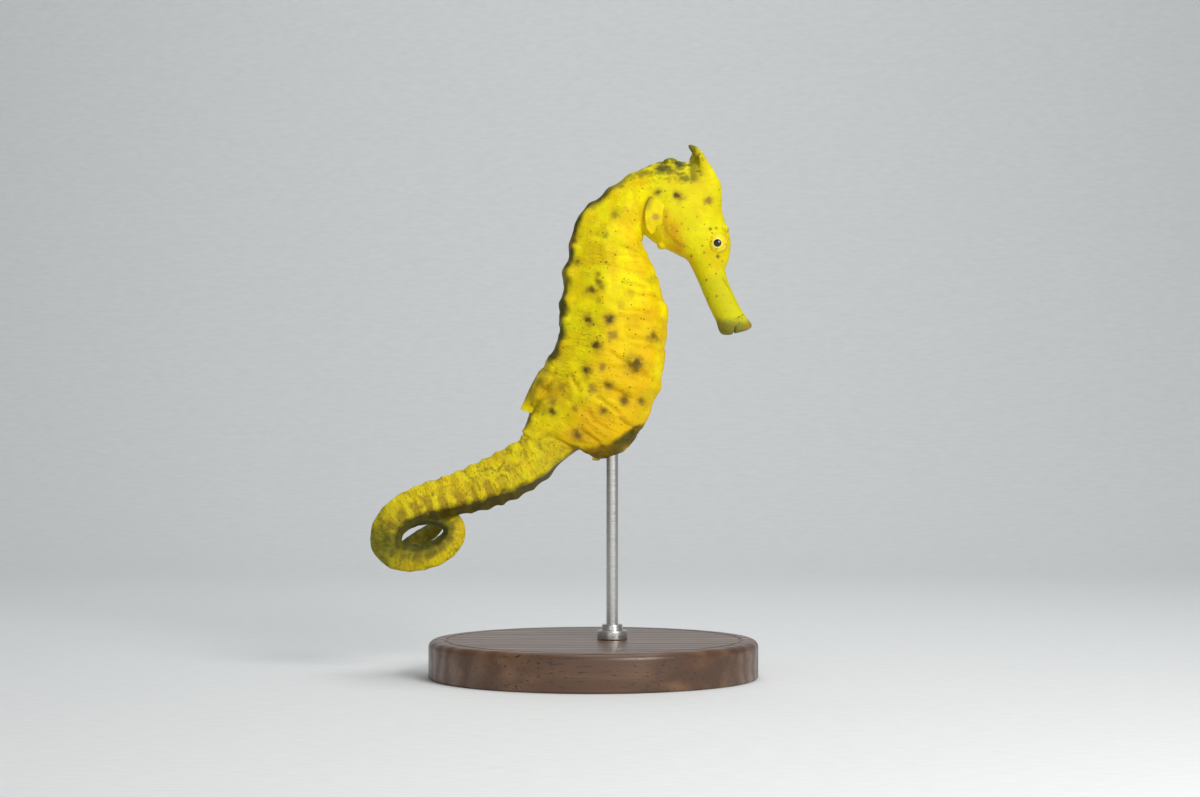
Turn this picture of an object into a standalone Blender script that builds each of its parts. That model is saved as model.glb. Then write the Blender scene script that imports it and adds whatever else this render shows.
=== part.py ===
"""Estuary seahorse in its yellow colour, an adult female, life-size, on a plain display stand.

The animal is one loft from the mouth to the tip of the tail. Its sections run between a back line
and a belly line, and change from the oval head to the seven-ridged trunk and the four-ridged tail.
The loft is parted into head, neck, trunk and tail lengths by thin cuts. The seahorse faces +X,
its right side faces -Y, and +Z is up. Origin: centre of the stand's underside.
"""

import math

import bmesh
import bpy
import numpy as np
from mathutils import Matrix, Vector

MM = 0.001  # every size below is in millimetres; this turns them into metres
GAP = 0.3  # clearance between pieces that touch

# Stand
BASE_RADIUS = 35.0
BASE_HEIGHT = 8.0
BASE_EDGE = 1.2
ROD_RADIUS = 1.25
ROD_X = 4.0
ROD_INSERT = 7.0  # how far the rod reaches into the trunk
FERRULE_RADIUS = 3.2
FERRULE_HEIGHT = 3.0
FERRULE_SEAT = 1.5  # depth of the rod's hole in the base
VENT_HEIGHT = 46.5  # the trunk's underside above the table

# Rings of bony plates
TRUNK_RINGS = 11
TAIL_RINGS = 33
TAIL_RING_SHRINK = 0.985  # each tail ring is this much shorter than the one before

# Stations of the head, neck and trunk, in the plane of symmetry, from the rod's entry point:
# the point on the back line, the point on the belly line, half the width, how much wider the
# section is towards the back (below 0: towards the belly), and how angular it is.
STATIONS = (
    ("mouth", (30.0, 27.6), (23.4, 25.8), 2.4, 0.0, 0.0),
    ("lips", (28.7, 29.5), (22.4, 28.4), 2.8, 0.0, 0.0),
    ("snout_waist", (26.3, 33.8), (20.6, 32.1), 2.3, 0.0, 0.0),
    ("snout_root", (24.0, 39.9), (17.4, 39.4), 2.9, -0.05, 0.0),
    ("nose", (24.9, 42.7), (15.9, 42.1), 3.6, -0.15, 0.0),
    ("eye", (25.1, 46.8), (14.0, 43.1), 4.2, -0.15, 0.0),
    ("forehead", (23.4, 52.3), (12.1, 44.1), 4.8, -0.25, 0.0),
    ("crown", (22.5, 59.5), (10.2, 45.0), 5.0, -0.3, 0.0),
    ("occiput", (13.6, 63.3), (8.0, 46.5), 4.9, -0.25, 0.0),
    ("nape", (9.2, 62.8), (6.9, 47.3), 4.6, -0.15, 0.2),
    ("neck", (4.2, 60.6), (6.6, 47.3), 4.4, -0.1, 0.5),
    ("shoulder", (-3.0, 55.5), (6.8, 45.7), 4.8, 0.0, 0.7),
    ("upper_back", (-8.0, 50.6), (7.6, 43.6), 5.4, 0.0, 0.8),
    ("chest", (-9.3, 44.2), (9.6, 39.9), 6.0, 0.0, 0.8),
    ("breast", (-10.6, 38.2), (11.0, 35.7), 6.8, 0.0, 0.8),
    ("belly", (-11.4, 31.4), (12.2, 29.1), 7.5, 0.0, 0.8),
    ("low_belly", (-12.2, 25.1), (11.7, 20.4), 7.9, 0.0, 0.8),
    ("keel", (-14.1, 19.6), (10.3, 13.6), 7.8, 0.0, 0.8),
    ("vent_corner", (-15.9, 14.9), (6.0, 4.3), 7.0, 0.0, 0.8),
    ("vent", (-16.9, 11.9), (1.8, 0.3), 6.4, 0.0, 0.8),
    ("anal", (-17.5, 10.0), (-2.3, -0.4), 6.0, 0.0, 0.8),
    ("tail_root", (-19.2, 7.0), (-6.4, 1.5), 5.6, 0.0, 0.85),
)

# Tail: a run of points from the trunk to the bend, then one oval turn that leans away from -Y,
# then the tip, which crosses behind the opening of that turn.
TAIL_RUN = ((-17.3, -0.6), (-25.7, -5.2), (-34.0, -7.9), (-40.4, -9.5), (-44.8, -11.8), (-47.4, -14.7))
COIL_CENTRE = (-40.8, -16.6)
COIL_HALF_LENGTH = 7.2
COIL_HALF_HEIGHT = 4.3
COIL_TILT = math.radians(12.0)
COIL_START, COIL_END = math.radians(180.0), math.radians(540.0)
COIL_STEP = math.radians(30.0)
COIL_NARROWING = 0.15  # share of its size that the coil loses, from this angle to its end
NARROWING_START = math.radians(400.0)
TAIL_END = ((-46.1, 7.7, -19.6), (-44.1, 8.4, -18.9), (-41.8, 9.0, -17.1), (-39.3, 9.5, -15.5), (-36.6, 9.9, -13.9))
BEND_SIDEWAYS = -2.0  # y of the bend, where the coil starts
COIL_PITCH = 9.0  # how far one turn of the coil moves along +Y
TAIL_RADII = (
    (0.0, 5.7), (0.077, 5.2), (0.177, 4.8), (0.33, 3.6), (0.5, 2.85), (0.66, 2.35), (0.85, 1.6), (1.0, 0.95),
)  # (share of the tail, half thickness)
TAIL_ROLL = math.radians(25.0)  # the tail is rolled about its own axis, belly side towards -Y
TAIL_ROLL_LENGTH = 13.0

# Corners of half a section, from the middle of the back to the middle of the belly, 45 degrees
# apart: (up, out) as shares of the half depth and half width. These are the ridges of the plates.
TRUNK_CORNERS = ((0.93, 0.0), (0.96, 0.42), (0.22, 1.0), (-0.64, 0.74), (-1.0, 0.0))
TAIL_CORNERS = ((0.84, 0.0), (0.9, 0.86), (0.0, 0.9), (-0.9, 0.82), (-0.84, 0.0))
CORNER_STEP = math.radians(45.0)

TRUNK_GROOVE = 0.3  # depth between two rings
TAIL_GROOVE = 0.1  # the same on the tail, as a share of its half thickness
TUBERCLE = 0.06  # height of the knob where a ridge crosses a ring, as a share of the half depth

HEAD_SIDES = 32
TRUNK_SIDES = 24
TAIL_SIDES = 16

# Where the loft is parted, as stations, and the tail lengths, as shares of the tail.
TAIL_CUTS = (0.0, 0.2, 0.38, 0.52, 0.66, 0.82, 1.0)
TAIL_NAMES = ("tail_base", "tail_middle", "tail_bend", "tail_loop", "tail_curl", "tail_tip")

# Head details: (x, z), distance from the plane of symmetry, radius and height of each knob.
KNOBS = (
    ((25.0, 49.0), 2.0, 1.3, 0.7),  # spine over the eye
    ((25.0, 43.4), 0.8, 1.6, 0.5),  # nose spine
    ((10.6, 44.4), 1.6, 1.4, 1.0),  # cheek spine
    ((12.6, 63.6), 0.0, 1.5, 0.7),  # spine behind the crown
    ((13.0, 53.0), 4.9, 3.8, 0.6),  # gill cover
)
EYE_CENTRE = (22.1, 45.5)
EYE_SIDEWAYS = 2.5
EYE_RADIUS = 2.3

# Coronet: its front and back points and half width, from the crown up to the hooked tip.
CORONET = (
    ((23.0, 57.0), (14.5, 61.0), 2.6),
    ((22.6, 60.3), (15.0, 63.2), 2.1),
    ((20.9, 62.8), (16.1, 64.3), 1.5),
    ((19.8, 64.4), (16.8, 64.9), 1.3),
    ((19.0, 65.5), (16.2, 65.7), 1.4),
    ((17.8, 66.3), (16.0, 66.5), 0.8),
)
CORONET_SIDES = 16
CORONET_CUT = ((22.9, 60.1), (14.9, 63.3))  # line along which the coronet is parted from the head

# Fins
FIN_RAY = 0.7  # thickness at a ray
FIN_SKIN = 0.5  # thickness between rays
FIN_CLEARANCE = 0.5  # from the curved back to the dorsal fin's base
DORSAL_RAYS = 17
DORSAL_HEIGHTS = (0.8, 2.0)  # at its front and at its trailing corner
DORSAL_SWEEP = 0.3
PECTORAL_RAYS = 16
PECTORAL_BASE = (11.2, 51.4)
PECTORAL_SIDEWAYS = 5.9
PECTORAL_WIDTH = 4.2  # along its base
PECTORAL_REACH = 4.2
PECTORAL_SPREAD = math.radians(35.0)
PECTORAL_LEAN = math.radians(8.0)
ANAL_RAYS = 4
ANAL_BASE = (-4.1, 0.0, 0.25)
ANAL_WIDTH = 1.8
ANAL_REACH = 1.3
ANAL_SPREAD = math.radians(15.0)
ANAL_TURN = math.radians(-67.0)

SKIN_YELLOW = (0.86, 0.68, 0.02, 1.0)
FIN_YELLOW = (0.74, 0.58, 0.05, 1.0)
EYE_GOLD = (0.80, 0.62, 0.06, 1.0)
WALNUT = (0.10, 0.05, 0.025, 1.0)
STEEL = (0.62, 0.62, 0.60, 1.0)


def clear_scene():
    for old in list(bpy.data.objects):
        bpy.data.objects.remove(old, do_unlink=True)


def make_collection(name, hidden=False):
    collection = bpy.data.collections.new(name)
    bpy.context.scene.collection.children.link(collection)
    collection.hide_render = hidden
    return collection


def make_material(name, colour, roughness, metallic=0.0):
    material = bpy.data.materials.new(name)
    material.use_nodes = True
    shader = material.node_tree.nodes["Principled BSDF"]
    shader.inputs["Base Color"].default_value = colour
    shader.inputs["Roughness"].default_value = roughness
    shader.inputs["Metallic"].default_value = metallic
    return material


def place(obj, collection, material=None, parent=None):
    """Moves obj into one collection, under parent, with its material."""
    for holder in list(obj.users_collection):
        holder.objects.unlink(obj)
    collection.objects.link(obj)
    obj.parent = parent
    if material:
        obj.data.materials.append(material)
    return obj


def mix(a, b, share):
    return a + (b - a) * share


def smooth_step(value):
    value = min(1.0, max(0.0, value))
    return value * value * (3.0 - 2.0 * value)


def smooth_value(keys, rows, at):
    """The row at a distance between keys, on a smooth curve through all rows."""
    last = len(keys) - 1
    i = int(np.clip(np.searchsorted(keys, at) - 1, 0, last - 1))
    before, after = max(i - 1, 0), min(i + 2, last)
    width = keys[i + 1] - keys[i]
    share = (at - keys[i]) / width
    leave = (rows[i + 1] - rows[before]) / (keys[i + 1] - keys[before]) * width
    arrive = (rows[after] - rows[i]) / (keys[after] - keys[i]) * width
    two, three = share * share, share ** 3
    return (
        rows[i] * (2 * three - 3 * two + 1)
        + leave * (three - 2 * two + share)
        + rows[i + 1] * (3 * two - 2 * three)
        + arrive * (three - two)
    )


def tail_route():
    """Centre points of the tail, from behind its root to the tip, as (x, y, z)."""
    route = []
    for i, (x, z) in enumerate(TAIL_RUN):
        route.append((x, BEND_SIDEWAYS * smooth_step((i + 1) / len(TAIL_RUN)), z))
    steps = round((COIL_END - COIL_START) / COIL_STEP)
    for i in range(steps + 1):
        turn = mix(COIL_START, COIL_END, i / steps)
        narrowed = smooth_step((turn - NARROWING_START) / (COIL_END - NARROWING_START))
        size = 1.0 - COIL_NARROWING * narrowed
        along = size * COIL_HALF_LENGTH * math.cos(turn)
        across = size * COIL_HALF_HEIGHT * math.sin(turn)
        x = COIL_CENTRE[0] + along * math.cos(COIL_TILT) - across * math.sin(COIL_TILT)
        z = COIL_CENTRE[1] + along * math.sin(COIL_TILT) + across * math.cos(COIL_TILT)
        y = BEND_SIDEWAYS + COIL_PITCH * (turn - COIL_START) / math.tau
        route.append((x, y, z))
    return np.array([*route, *TAIL_END])


def body_rows():
    """Distances along the body and, for each, back point, belly point, half width, bias,
    angularity, how far the trunk's corners have become the tail's, and roll."""
    rows = []
    for _name, back, belly, half_width, bias, angular in STATIONS:
        rows.append([back[0], 0.0, back[1], belly[0], 0.0, belly[1], half_width, bias, angular, 0.0, 0.0])
    rows[-1][9] = 0.5
    route = tail_route()
    root = (np.array(rows[-1][0:3]) + np.array(rows[-1][3:6])) / 2
    steps = np.linalg.norm(np.diff(np.vstack([root, route]), axis=0), axis=1)
    travelled = np.cumsum(steps)
    heading = np.gradient(route, axis=0)
    for point, ahead, far in zip(route, heading, travelled):
        share = far / travelled[-1]
        radius = float(np.interp(share, *zip(*TAIL_RADII)))
        outward = np.array([ahead[2], 0.0, -ahead[0]])
        outward /= np.linalg.norm(outward)
        back, belly = point + radius * outward, point - radius * outward
        roll = TAIL_ROLL * smooth_step(far / TAIL_ROLL_LENGTH)
        rows.append([*back, *belly, radius, 0.0, 0.85, 1.0, roll])
    rows = np.array(rows)
    centres = (rows[:, 0:3] + rows[:, 3:6]) / 2
    keys = np.concatenate([[0.0], np.cumsum(np.linalg.norm(np.diff(centres, axis=0), axis=1))])
    return keys, rows


KEYS, ROWS = body_rows()
NAMES = [station[0] for station in STATIONS]


def at_station(name):
    return KEYS[NAMES.index(name)]


def ring_edges():
    """Distances at which one ring of plates meets the next, from the neck to the tail's tip."""
    start, root, tip = at_station("neck"), at_station("tail_root"), KEYS[-1]
    edges = [mix(start, root, i / TRUNK_RINGS) for i in range(TRUNK_RINGS + 1)]
    lengths = [TAIL_RING_SHRINK**i for i in range(TAIL_RINGS)]
    for i in range(TAIL_RINGS):
        edges.append(mix(root, tip, sum(lengths[: i + 1]) / sum(lengths)))
    return edges


RING_EDGES = ring_edges()


def ring_rise(distance):
    """0 in the groove between two rings, 1 on the ridge in the middle of a ring."""
    if distance <= RING_EDGES[0] or distance >= RING_EDGES[-1]:
        return 1.0
    i = int(np.searchsorted(RING_EDGES, distance)) - 1
    share = (distance - RING_EDGES[i]) / (RING_EDGES[i + 1] - RING_EDGES[i])
    return math.sin(math.pi * min(1.0, max(0.0, share)))


def corner_at(angle, tail_share):
    """(up, out) on the angular section, in a straight line between two ridges."""
    turn = abs((angle + math.pi) % math.tau - math.pi)
    i = min(int(turn / CORNER_STEP), len(TRUNK_CORNERS) - 2)
    share = turn / CORNER_STEP - i
    corners = [
        [mix(a, b, tail_share) for a, b in zip(TRUNK_CORNERS[k], TAIL_CORNERS[k])]
        for k in (i, i + 1)
    ]
    up, out = (mix(corners[0][k], corners[1][k], share) for k in (0, 1))
    knob = max(0.0, 1.0 - 4.0 * abs(share - round(share)))
    return up, math.copysign(out, math.sin(angle)), knob if abs(math.sin(2 * angle)) > 0.5 else 0.5 * knob


def section(distance, sides):
    """Points round the body at a distance from the mouth, its normal, and its centre."""
    row = smooth_value(KEYS, ROWS, distance)
    back, belly = Vector(row[0:3]), Vector(row[3:6])
    half_width, bias, angular, tail_share, roll = row[6:11]
    step = 0.2
    ahead = smooth_value(KEYS, ROWS, min(distance + step, KEYS[-1]))
    behind = smooth_value(KEYS, ROWS, max(distance - step, 0.0))
    forward = Vector((ahead[0:3] + ahead[3:6]) - (behind[0:3] + behind[3:6])).normalized()
    up = (back - belly).normalized()
    left = forward.cross(up).normalized()
    centre, half_depth = (back + belly) / 2, (back - belly).length / 2
    groove = mix(TRUNK_GROOVE, TAIL_GROOVE * half_depth, tail_share) * min(1.0, 2.0 * angular)
    rise = ring_rise(distance)
    points = []
    for i in range(sides):
        angle = math.tau * i / sides
        up_share, out_share = math.cos(angle), math.sin(angle) * (1.0 + bias * math.cos(angle))
        corner_up, corner_out, knob = corner_at(angle, tail_share)
        up_share = mix(up_share, corner_up, angular)
        out_share = mix(out_share, corner_out, angular)
        up_share, out_share = (
            up_share * math.cos(roll) - out_share * math.sin(roll),
            out_share * math.cos(roll) + up_share * math.sin(roll),
        )
        size = 1.0 - groove * (1.0 - rise) / half_depth + TUBERCLE * angular * knob * rise
        points.append(
            centre + up * (half_depth * up_share * size) + left * (half_width * out_share * size)
        )
    return points, up.cross(left).normalized(), centre


def head_knobs(points, centre):
    """Pushes the points near each knob of the head outwards."""
    moved = []
    for point in points:
        outward = (point - centre).normalized()
        for (x, z), sideways, radius, height in KNOBS:
            away = Vector((point.x - x, abs(point.y) - sideways, point.z - z)).length
            point = point + outward * height * math.exp(-((away / radius) ** 2))
        moved.append(point)
    return moved


def close_loft(name, rings):
    """One closed mesh through rings of points with equal counts, both ends filled."""
    bm = bmesh.new()
    made = [[bm.verts.new(point * MM) for point in ring] for ring in rings]
    sides = len(made[0])
    for near, far in zip(made, made[1:]):
        for i in range(sides):
            j = (i + 1) % sides
            bm.faces.new((near[i], near[j], far[j], far[i]))
    for ring in (made[0], made[-1]):
        middle = bm.verts.new(sum((v.co for v in ring), Vector()) / sides)
        for i in range(sides):
            bm.faces.new((ring[i], ring[(i + 1) % sides], middle))
    bmesh.ops.recalc_face_normals(bm, faces=bm.faces)
    mesh = bpy.data.meshes.new(name)
    bm.to_mesh(mesh)
    bm.free()
    mesh.shade_smooth()
    mesh.set_sharp_from_angle(angle=math.radians(50.0))
    return bpy.data.objects.new(name, mesh)


def body_length(name, start, end, distances, sides, knobs=False):
    """The part of the loft from start to end, held back by half the gap at a cut end."""
    rings = []
    for distance in [start, *[d for d in distances if start + 0.6 < d < end - 0.6], end]:
        points, normal, centre = section(distance, sides)
        if knobs:
            points = head_knobs(points, centre)
        if distance == start and start > 0.0:
            points = [point + normal * (GAP / 2) for point in points]
        if distance == end and end < KEYS[-1]:
            points = [point - normal * (GAP / 2) for point in points]
        rings.append(points)
    return close_loft(name, rings)


def even_distances(start, end, spacing):
    count = max(1, round((end - start) / spacing))
    return [mix(start, end, i / count) for i in range(count + 1)]


def ring_distances():
    """A section in every groove and on every ring's ridge."""
    found = []
    for near, far in zip(RING_EDGES, RING_EDGES[1:]):
        found += [near, (near + far) / 2]
    return [*found, RING_EDGES[-1]]


def add_boolean(obj, other, operation):
    cut = obj.modifiers.new(operation.title(), "BOOLEAN")
    cut.operation = operation
    cut.object = other
    cut.solver = "EXACT"


def make_cutter(obj, cutters, parent):
    place(obj, cutters, parent=parent)
    obj.hide_render = True
    obj.display_type = "WIRE"
    return obj


def ball(name, centre, radius, rings=10, segments=16):
    bm = bmesh.new()
    bmesh.ops.create_uvsphere(bm, u_segments=segments, v_segments=rings, radius=radius * MM)
    bmesh.ops.rotate(bm, verts=bm.verts, cent=(0, 0, 0), matrix=Matrix.Rotation(math.radians(90), 3, "X"))
    mesh = bpy.data.meshes.new(name)
    bm.to_mesh(mesh)
    bm.free()
    mesh.shade_smooth()
    obj = bpy.data.objects.new(name, mesh)
    obj.location = Vector(centre) * MM
    return obj


def cylinder(name, radius, bottom, top, x=0.0, segments=48, edge=0.0):
    bm = bmesh.new()
    bmesh.ops.create_cone(
        bm, cap_ends=True, segments=segments, radius1=radius * MM, radius2=radius * MM, depth=(top - bottom) * MM
    )
    mesh = bpy.data.meshes.new(name)
    bm.to_mesh(mesh)
    bm.free()
    mesh.shade_smooth()
    mesh.set_sharp_from_angle(angle=math.radians(40.0))
    obj = bpy.data.objects.new(name, mesh)
    obj.location = (x * MM, 0.0, (bottom + top) / 2 * MM)
    if edge:
        rounded = obj.modifiers.new("Rounded edge", "BEVEL")
        rounded.width = edge * MM
        rounded.segments = 2
        rounded.limit_method = "ANGLE"
    return obj


def half_space(name, line, above, size=40.0):
    """A box on one side of a line in the plane of symmetry, reaching half a gap past it."""
    first, second = Vector((line[0][0], 0, line[0][1])), Vector((line[1][0], 0, line[1][1]))
    along = (second - first).normalized()
    normal = along.cross(Vector((0, 1, 0)))
    if (normal.z > 0) != above:
        normal = -normal
    bm = bmesh.new()
    bmesh.ops.create_cube(bm, size=size * MM)
    mesh = bpy.data.meshes.new(name)
    bm.to_mesh(mesh)
    bm.free()
    box = bpy.data.objects.new(name, mesh)
    middle = (first + second) / 2 + normal * (size / 2 - GAP / 2)
    box.matrix_world = Matrix.Translation(middle * MM) @ normal.to_track_quat("Z", "Y").to_matrix().to_4x4()
    return box


def make_coronet_loft(name):
    rings = []
    for front, back, half_width in CORONET:
        front, back = Vector((front[0], 0, front[1])), Vector((back[0], 0, back[1]))
        centre, reach = (front + back) / 2, (front - back) / 2
        ring = []
        for i in range(CORONET_SIDES):
            angle = math.tau * i / CORONET_SIDES
            ring.append(centre + reach * math.cos(angle) + Vector((0, half_width * math.sin(angle), 0)))
        rings.append(ring)
    return close_loft(name, rings)


def make_head(parts, cutters, animal, skin):
    """Snout, head and coronet, with sockets for the eyes."""
    root, occiput = at_station("snout_root"), at_station("occiput")
    snout = body_length("snout", 0.0, root, even_distances(0.0, root, 1.6), 20)
    place(snout, parts, skin, animal)
    head = body_length("head", root, occiput, even_distances(root, occiput, 1.1), HEAD_SIDES, knobs=True)
    place(head, parts, skin, animal)
    coronet = place(make_coronet_loft("coronet"), parts, skin, animal)

    stump = make_cutter(make_coronet_loft("coronet_stump"), cutters, animal)
    above = make_cutter(half_space("above_coronet_cut", CORONET_CUT, above=True), cutters, animal)
    below = make_cutter(half_space("below_coronet_cut", CORONET_CUT, above=False), cutters, animal)
    add_boolean(head, stump, "UNION")
    add_boolean(head, above, "DIFFERENCE")
    add_boolean(coronet, below, "DIFFERENCE")

    for side, name in ((-1, "right"), (1, "left")):
        centre = (EYE_CENTRE[0], side * EYE_SIDEWAYS, EYE_CENTRE[1])
        socket = make_cutter(ball(f"socket_{name}", centre, EYE_RADIUS + GAP), cutters, animal)
        add_boolean(head, socket, "DIFFERENCE")


def make_eyes(parts, animal, gold):
    for side, name in ((-1, "right"), (1, "left")):
        centre = (EYE_CENTRE[0], side * EYE_SIDEWAYS, EYE_CENTRE[1])
        place(ball(f"eye_{name}", centre, EYE_RADIUS), parts, gold, animal)


def make_neck_and_trunk(parts, cutters, animal, skin):
    """Neck, chest and belly. The belly is drilled for the stand's rod."""
    occiput, shoulder = at_station("occiput"), at_station("shoulder")
    belly, root = at_station("belly"), at_station("tail_root")
    bend = even_distances(occiput, at_station("neck"), 2.0)[:-1]
    neck = body_length("neck", occiput, shoulder, bend + ring_distances(), HEAD_SIDES)
    chest = body_length("trunk_chest", shoulder, belly, ring_distances(), TRUNK_SIDES)
    lower = body_length("trunk_belly", belly, root, ring_distances(), TRUNK_SIDES)
    for piece in (neck, chest, lower):
        place(piece, parts, skin, animal)
    drill = cylinder("rod_hole", ROD_RADIUS + GAP, -6.0, ROD_INSERT + GAP, segments=16)
    add_boolean(lower, make_cutter(drill, cutters, animal), "DIFFERENCE")


def make_tail(parts, animal, skin):
    root, tip = at_station("tail_root"), KEYS[-1]
    for name, near, far in zip(TAIL_NAMES, TAIL_CUTS, TAIL_CUTS[1:]):
        start, end = mix(root, tip, near), mix(root, tip, far)
        place(body_length(name, start, end, ring_distances(), TAIL_SIDES), parts, skin, animal)


def make_fin(name, feet, tips, sideways):
    """A thin fin: a ray runs from each foot to its tip, with thinner skin between the rays."""
    rings = []
    for i, (foot, tip) in enumerate(zip(feet, tips)):
        half = sideways * (FIN_RAY if i % 2 == 0 else FIN_SKIN) / 2
        rings.append([foot - half, tip - half, tip + half, foot + half])
    return close_loft(name, rings)


def make_dorsal_fin():
    """A low fin whose base follows the back, over the last trunk rings."""
    start, end = at_station("keel") - 1.5, at_station("anal")
    feet, tips = [], []
    for i in range(2 * DORSAL_RAYS - 1):
        share = i / (2 * DORSAL_RAYS - 2)
        points, normal, centre = section(mix(start, end, share), TRUNK_SIDES)
        outward = (points[0] - centre).normalized()
        foot = points[0] + outward * FIN_CLEARANCE
        ray = (outward + normal * DORSAL_SWEEP).normalized()
        height = mix(*DORSAL_HEIGHTS, math.sqrt(share)) * (0.92 if i % 2 else 1.0)
        feet.append(foot)
        tips.append(foot + ray * height)
    return make_fin("dorsal_fin", feet, tips, Vector((0, 1, 0)))


def make_fan(name, base, width, reach, spread, rays, turn):
    """A fan of rays: before the turn, its base runs along Z and its rays point along -X."""
    feet, tips = [], []
    for i in range(2 * rays - 1):
        share = 1.0 - i / (rays - 1)
        length = reach * (0.95 if i % 2 else 1.0)
        foot = Vector((0, 0, width / 2 * share))
        ray = Vector((-length * math.cos(spread * share), 0, length * math.sin(spread * share)))
        feet.append(Vector(base) + turn @ foot)
        tips.append(Vector(base) + turn @ (foot + ray))
    return make_fin(name, feet, tips, turn @ Vector((0, 1, 0)))


def make_fins(parts, animal, fin):
    """The dorsal fin, the tiny anal fin behind the vent, and one pectoral fin behind each gill."""
    place(make_dorsal_fin(), parts, fin, animal)
    down = Matrix.Rotation(ANAL_TURN, 3, "Y")
    anal = make_fan("anal_fin", ANAL_BASE, ANAL_WIDTH, ANAL_REACH, ANAL_SPREAD, ANAL_RAYS, down)
    place(anal, parts, fin, animal)
    for side, name in ((-1, "right"), (1, "left")):
        base = (PECTORAL_BASE[0], side * PECTORAL_SIDEWAYS, PECTORAL_BASE[1])
        back = Matrix.Rotation(side * PECTORAL_LEAN, 3, "Z")
        size = (PECTORAL_WIDTH, PECTORAL_REACH, PECTORAL_SPREAD, PECTORAL_RAYS)
        place(make_fan(f"pectoral_fin_{name}", base, *size, back), parts, fin, animal)


def make_stand(parts, cutters, wood, steel):
    """A round base, a ferrule and a rod up into the trunk."""
    base = cylinder("stand_base", BASE_RADIUS, 0.0, BASE_HEIGHT, segments=48, edge=BASE_EDGE)
    place(base, parts, wood)
    seat_bottom = BASE_HEIGHT - FERRULE_SEAT
    seat = cylinder("rod_seat", ROD_RADIUS + GAP, seat_bottom - GAP, BASE_HEIGHT + 5.0, ROD_X, segments=16)
    add_boolean(base, make_cutter(seat, cutters, None), "DIFFERENCE")

    ferrule_bottom = BASE_HEIGHT + GAP
    ferrule = cylinder(
        "stand_ferrule", FERRULE_RADIUS, ferrule_bottom, ferrule_bottom + FERRULE_HEIGHT, ROD_X, 24, 0.5
    )
    place(ferrule, parts, steel)
    bore = cylinder("ferrule_bore", ROD_RADIUS + GAP, BASE_HEIGHT - 2.0, BASE_HEIGHT + 8.0, ROD_X, segments=16)
    add_boolean(ferrule, make_cutter(bore, cutters, None), "DIFFERENCE")

    rod = cylinder("stand_rod", ROD_RADIUS, seat_bottom, VENT_HEIGHT + ROD_INSERT, ROD_X, 16)
    place(rod, parts, steel)


def main():
    clear_scene()
    parts = make_collection("Seahorse")
    cutters = make_collection("Cutters", hidden=True)
    animal = place(bpy.data.objects.new("animal", None), parts)
    animal.location = (ROD_X * MM, 0.0, VENT_HEIGHT * MM)
    skin = make_material("Yellow skin", SKIN_YELLOW, 0.45)
    fin = make_material("Fin membrane", FIN_YELLOW, 0.4)
    gold = make_material("Golden eye", EYE_GOLD, 0.15)
    wood = make_material("Dark walnut", WALNUT, 0.4)
    steel = make_material("Brushed steel", STEEL, 0.3, 1.0)
    make_head(parts, cutters, animal, skin)
    make_eyes(parts, animal, gold)
    make_neck_and_trunk(parts, cutters, animal, skin)
    make_tail(parts, animal, skin)
    make_fins(parts, animal, fin)
    make_stand(parts, cutters, wood, steel)


main()
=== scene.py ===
# %% [markdown]
# # A yellow seahorse on a display stand
#
# A seahorse is a fish inside a suit of bony rings: a horse-like head, a deep ringed trunk, and a
# square tail that coils. A museum model of it is usually one painted casting with glass eyes.
# This lesson builds such a model: first the floor, camera and lights, then the stand, then one
# continuous skin with its relief and markings, then the eyes and fins.
#
# The solid model made earlier is loaded as a fixed frame. It tells where everything belongs, and
# each piece made here takes the place of one or more of its plain solids.

# %% Load the frame
import math

import bmesh
import bpy
import numpy as np
from mathutils import Matrix, Vector
from mathutils.bvhtree import BVHTree


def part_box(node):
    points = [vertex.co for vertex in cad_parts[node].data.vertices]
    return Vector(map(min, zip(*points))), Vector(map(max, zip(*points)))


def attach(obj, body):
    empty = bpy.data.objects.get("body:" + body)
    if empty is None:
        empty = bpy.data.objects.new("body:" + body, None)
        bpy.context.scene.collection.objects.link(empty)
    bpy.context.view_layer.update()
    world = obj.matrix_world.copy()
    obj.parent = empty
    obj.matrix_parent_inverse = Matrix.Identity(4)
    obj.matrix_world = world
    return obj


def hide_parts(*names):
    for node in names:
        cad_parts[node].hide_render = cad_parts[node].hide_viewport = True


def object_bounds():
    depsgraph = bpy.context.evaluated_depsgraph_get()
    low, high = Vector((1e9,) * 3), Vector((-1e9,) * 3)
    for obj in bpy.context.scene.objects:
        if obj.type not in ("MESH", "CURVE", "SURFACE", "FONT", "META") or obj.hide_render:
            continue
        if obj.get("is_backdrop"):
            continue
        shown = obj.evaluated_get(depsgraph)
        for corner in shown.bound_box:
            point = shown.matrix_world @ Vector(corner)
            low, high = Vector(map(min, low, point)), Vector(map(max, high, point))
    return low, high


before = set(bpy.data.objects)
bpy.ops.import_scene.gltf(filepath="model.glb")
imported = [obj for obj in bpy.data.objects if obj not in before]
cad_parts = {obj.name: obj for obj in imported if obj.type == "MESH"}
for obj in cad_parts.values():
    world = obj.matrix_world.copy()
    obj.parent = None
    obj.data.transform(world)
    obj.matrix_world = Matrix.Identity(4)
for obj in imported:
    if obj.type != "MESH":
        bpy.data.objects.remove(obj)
solid_box = [list(corner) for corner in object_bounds()]
MM = 0.001
rod_low, rod_high = (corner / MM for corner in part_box("stand_rod"))
base_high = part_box("stand_base")[1] / MM
print("nodes:", ", ".join(sorted(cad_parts)))

# %% [markdown]
# ## Camera, floor and light
#
# A small model is best seen from a little way off through a long lens, which doesn't distort it.
# The camera here stands level with the middle of the model and looks straight along +Y, at the
# seahorse's right side. A strip of pale paper that curves up behind the model makes a floor and a
# backdrop in one, with no horizon line. Bending one strip of faces along an arc is the simplest
# way to make it.

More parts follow.
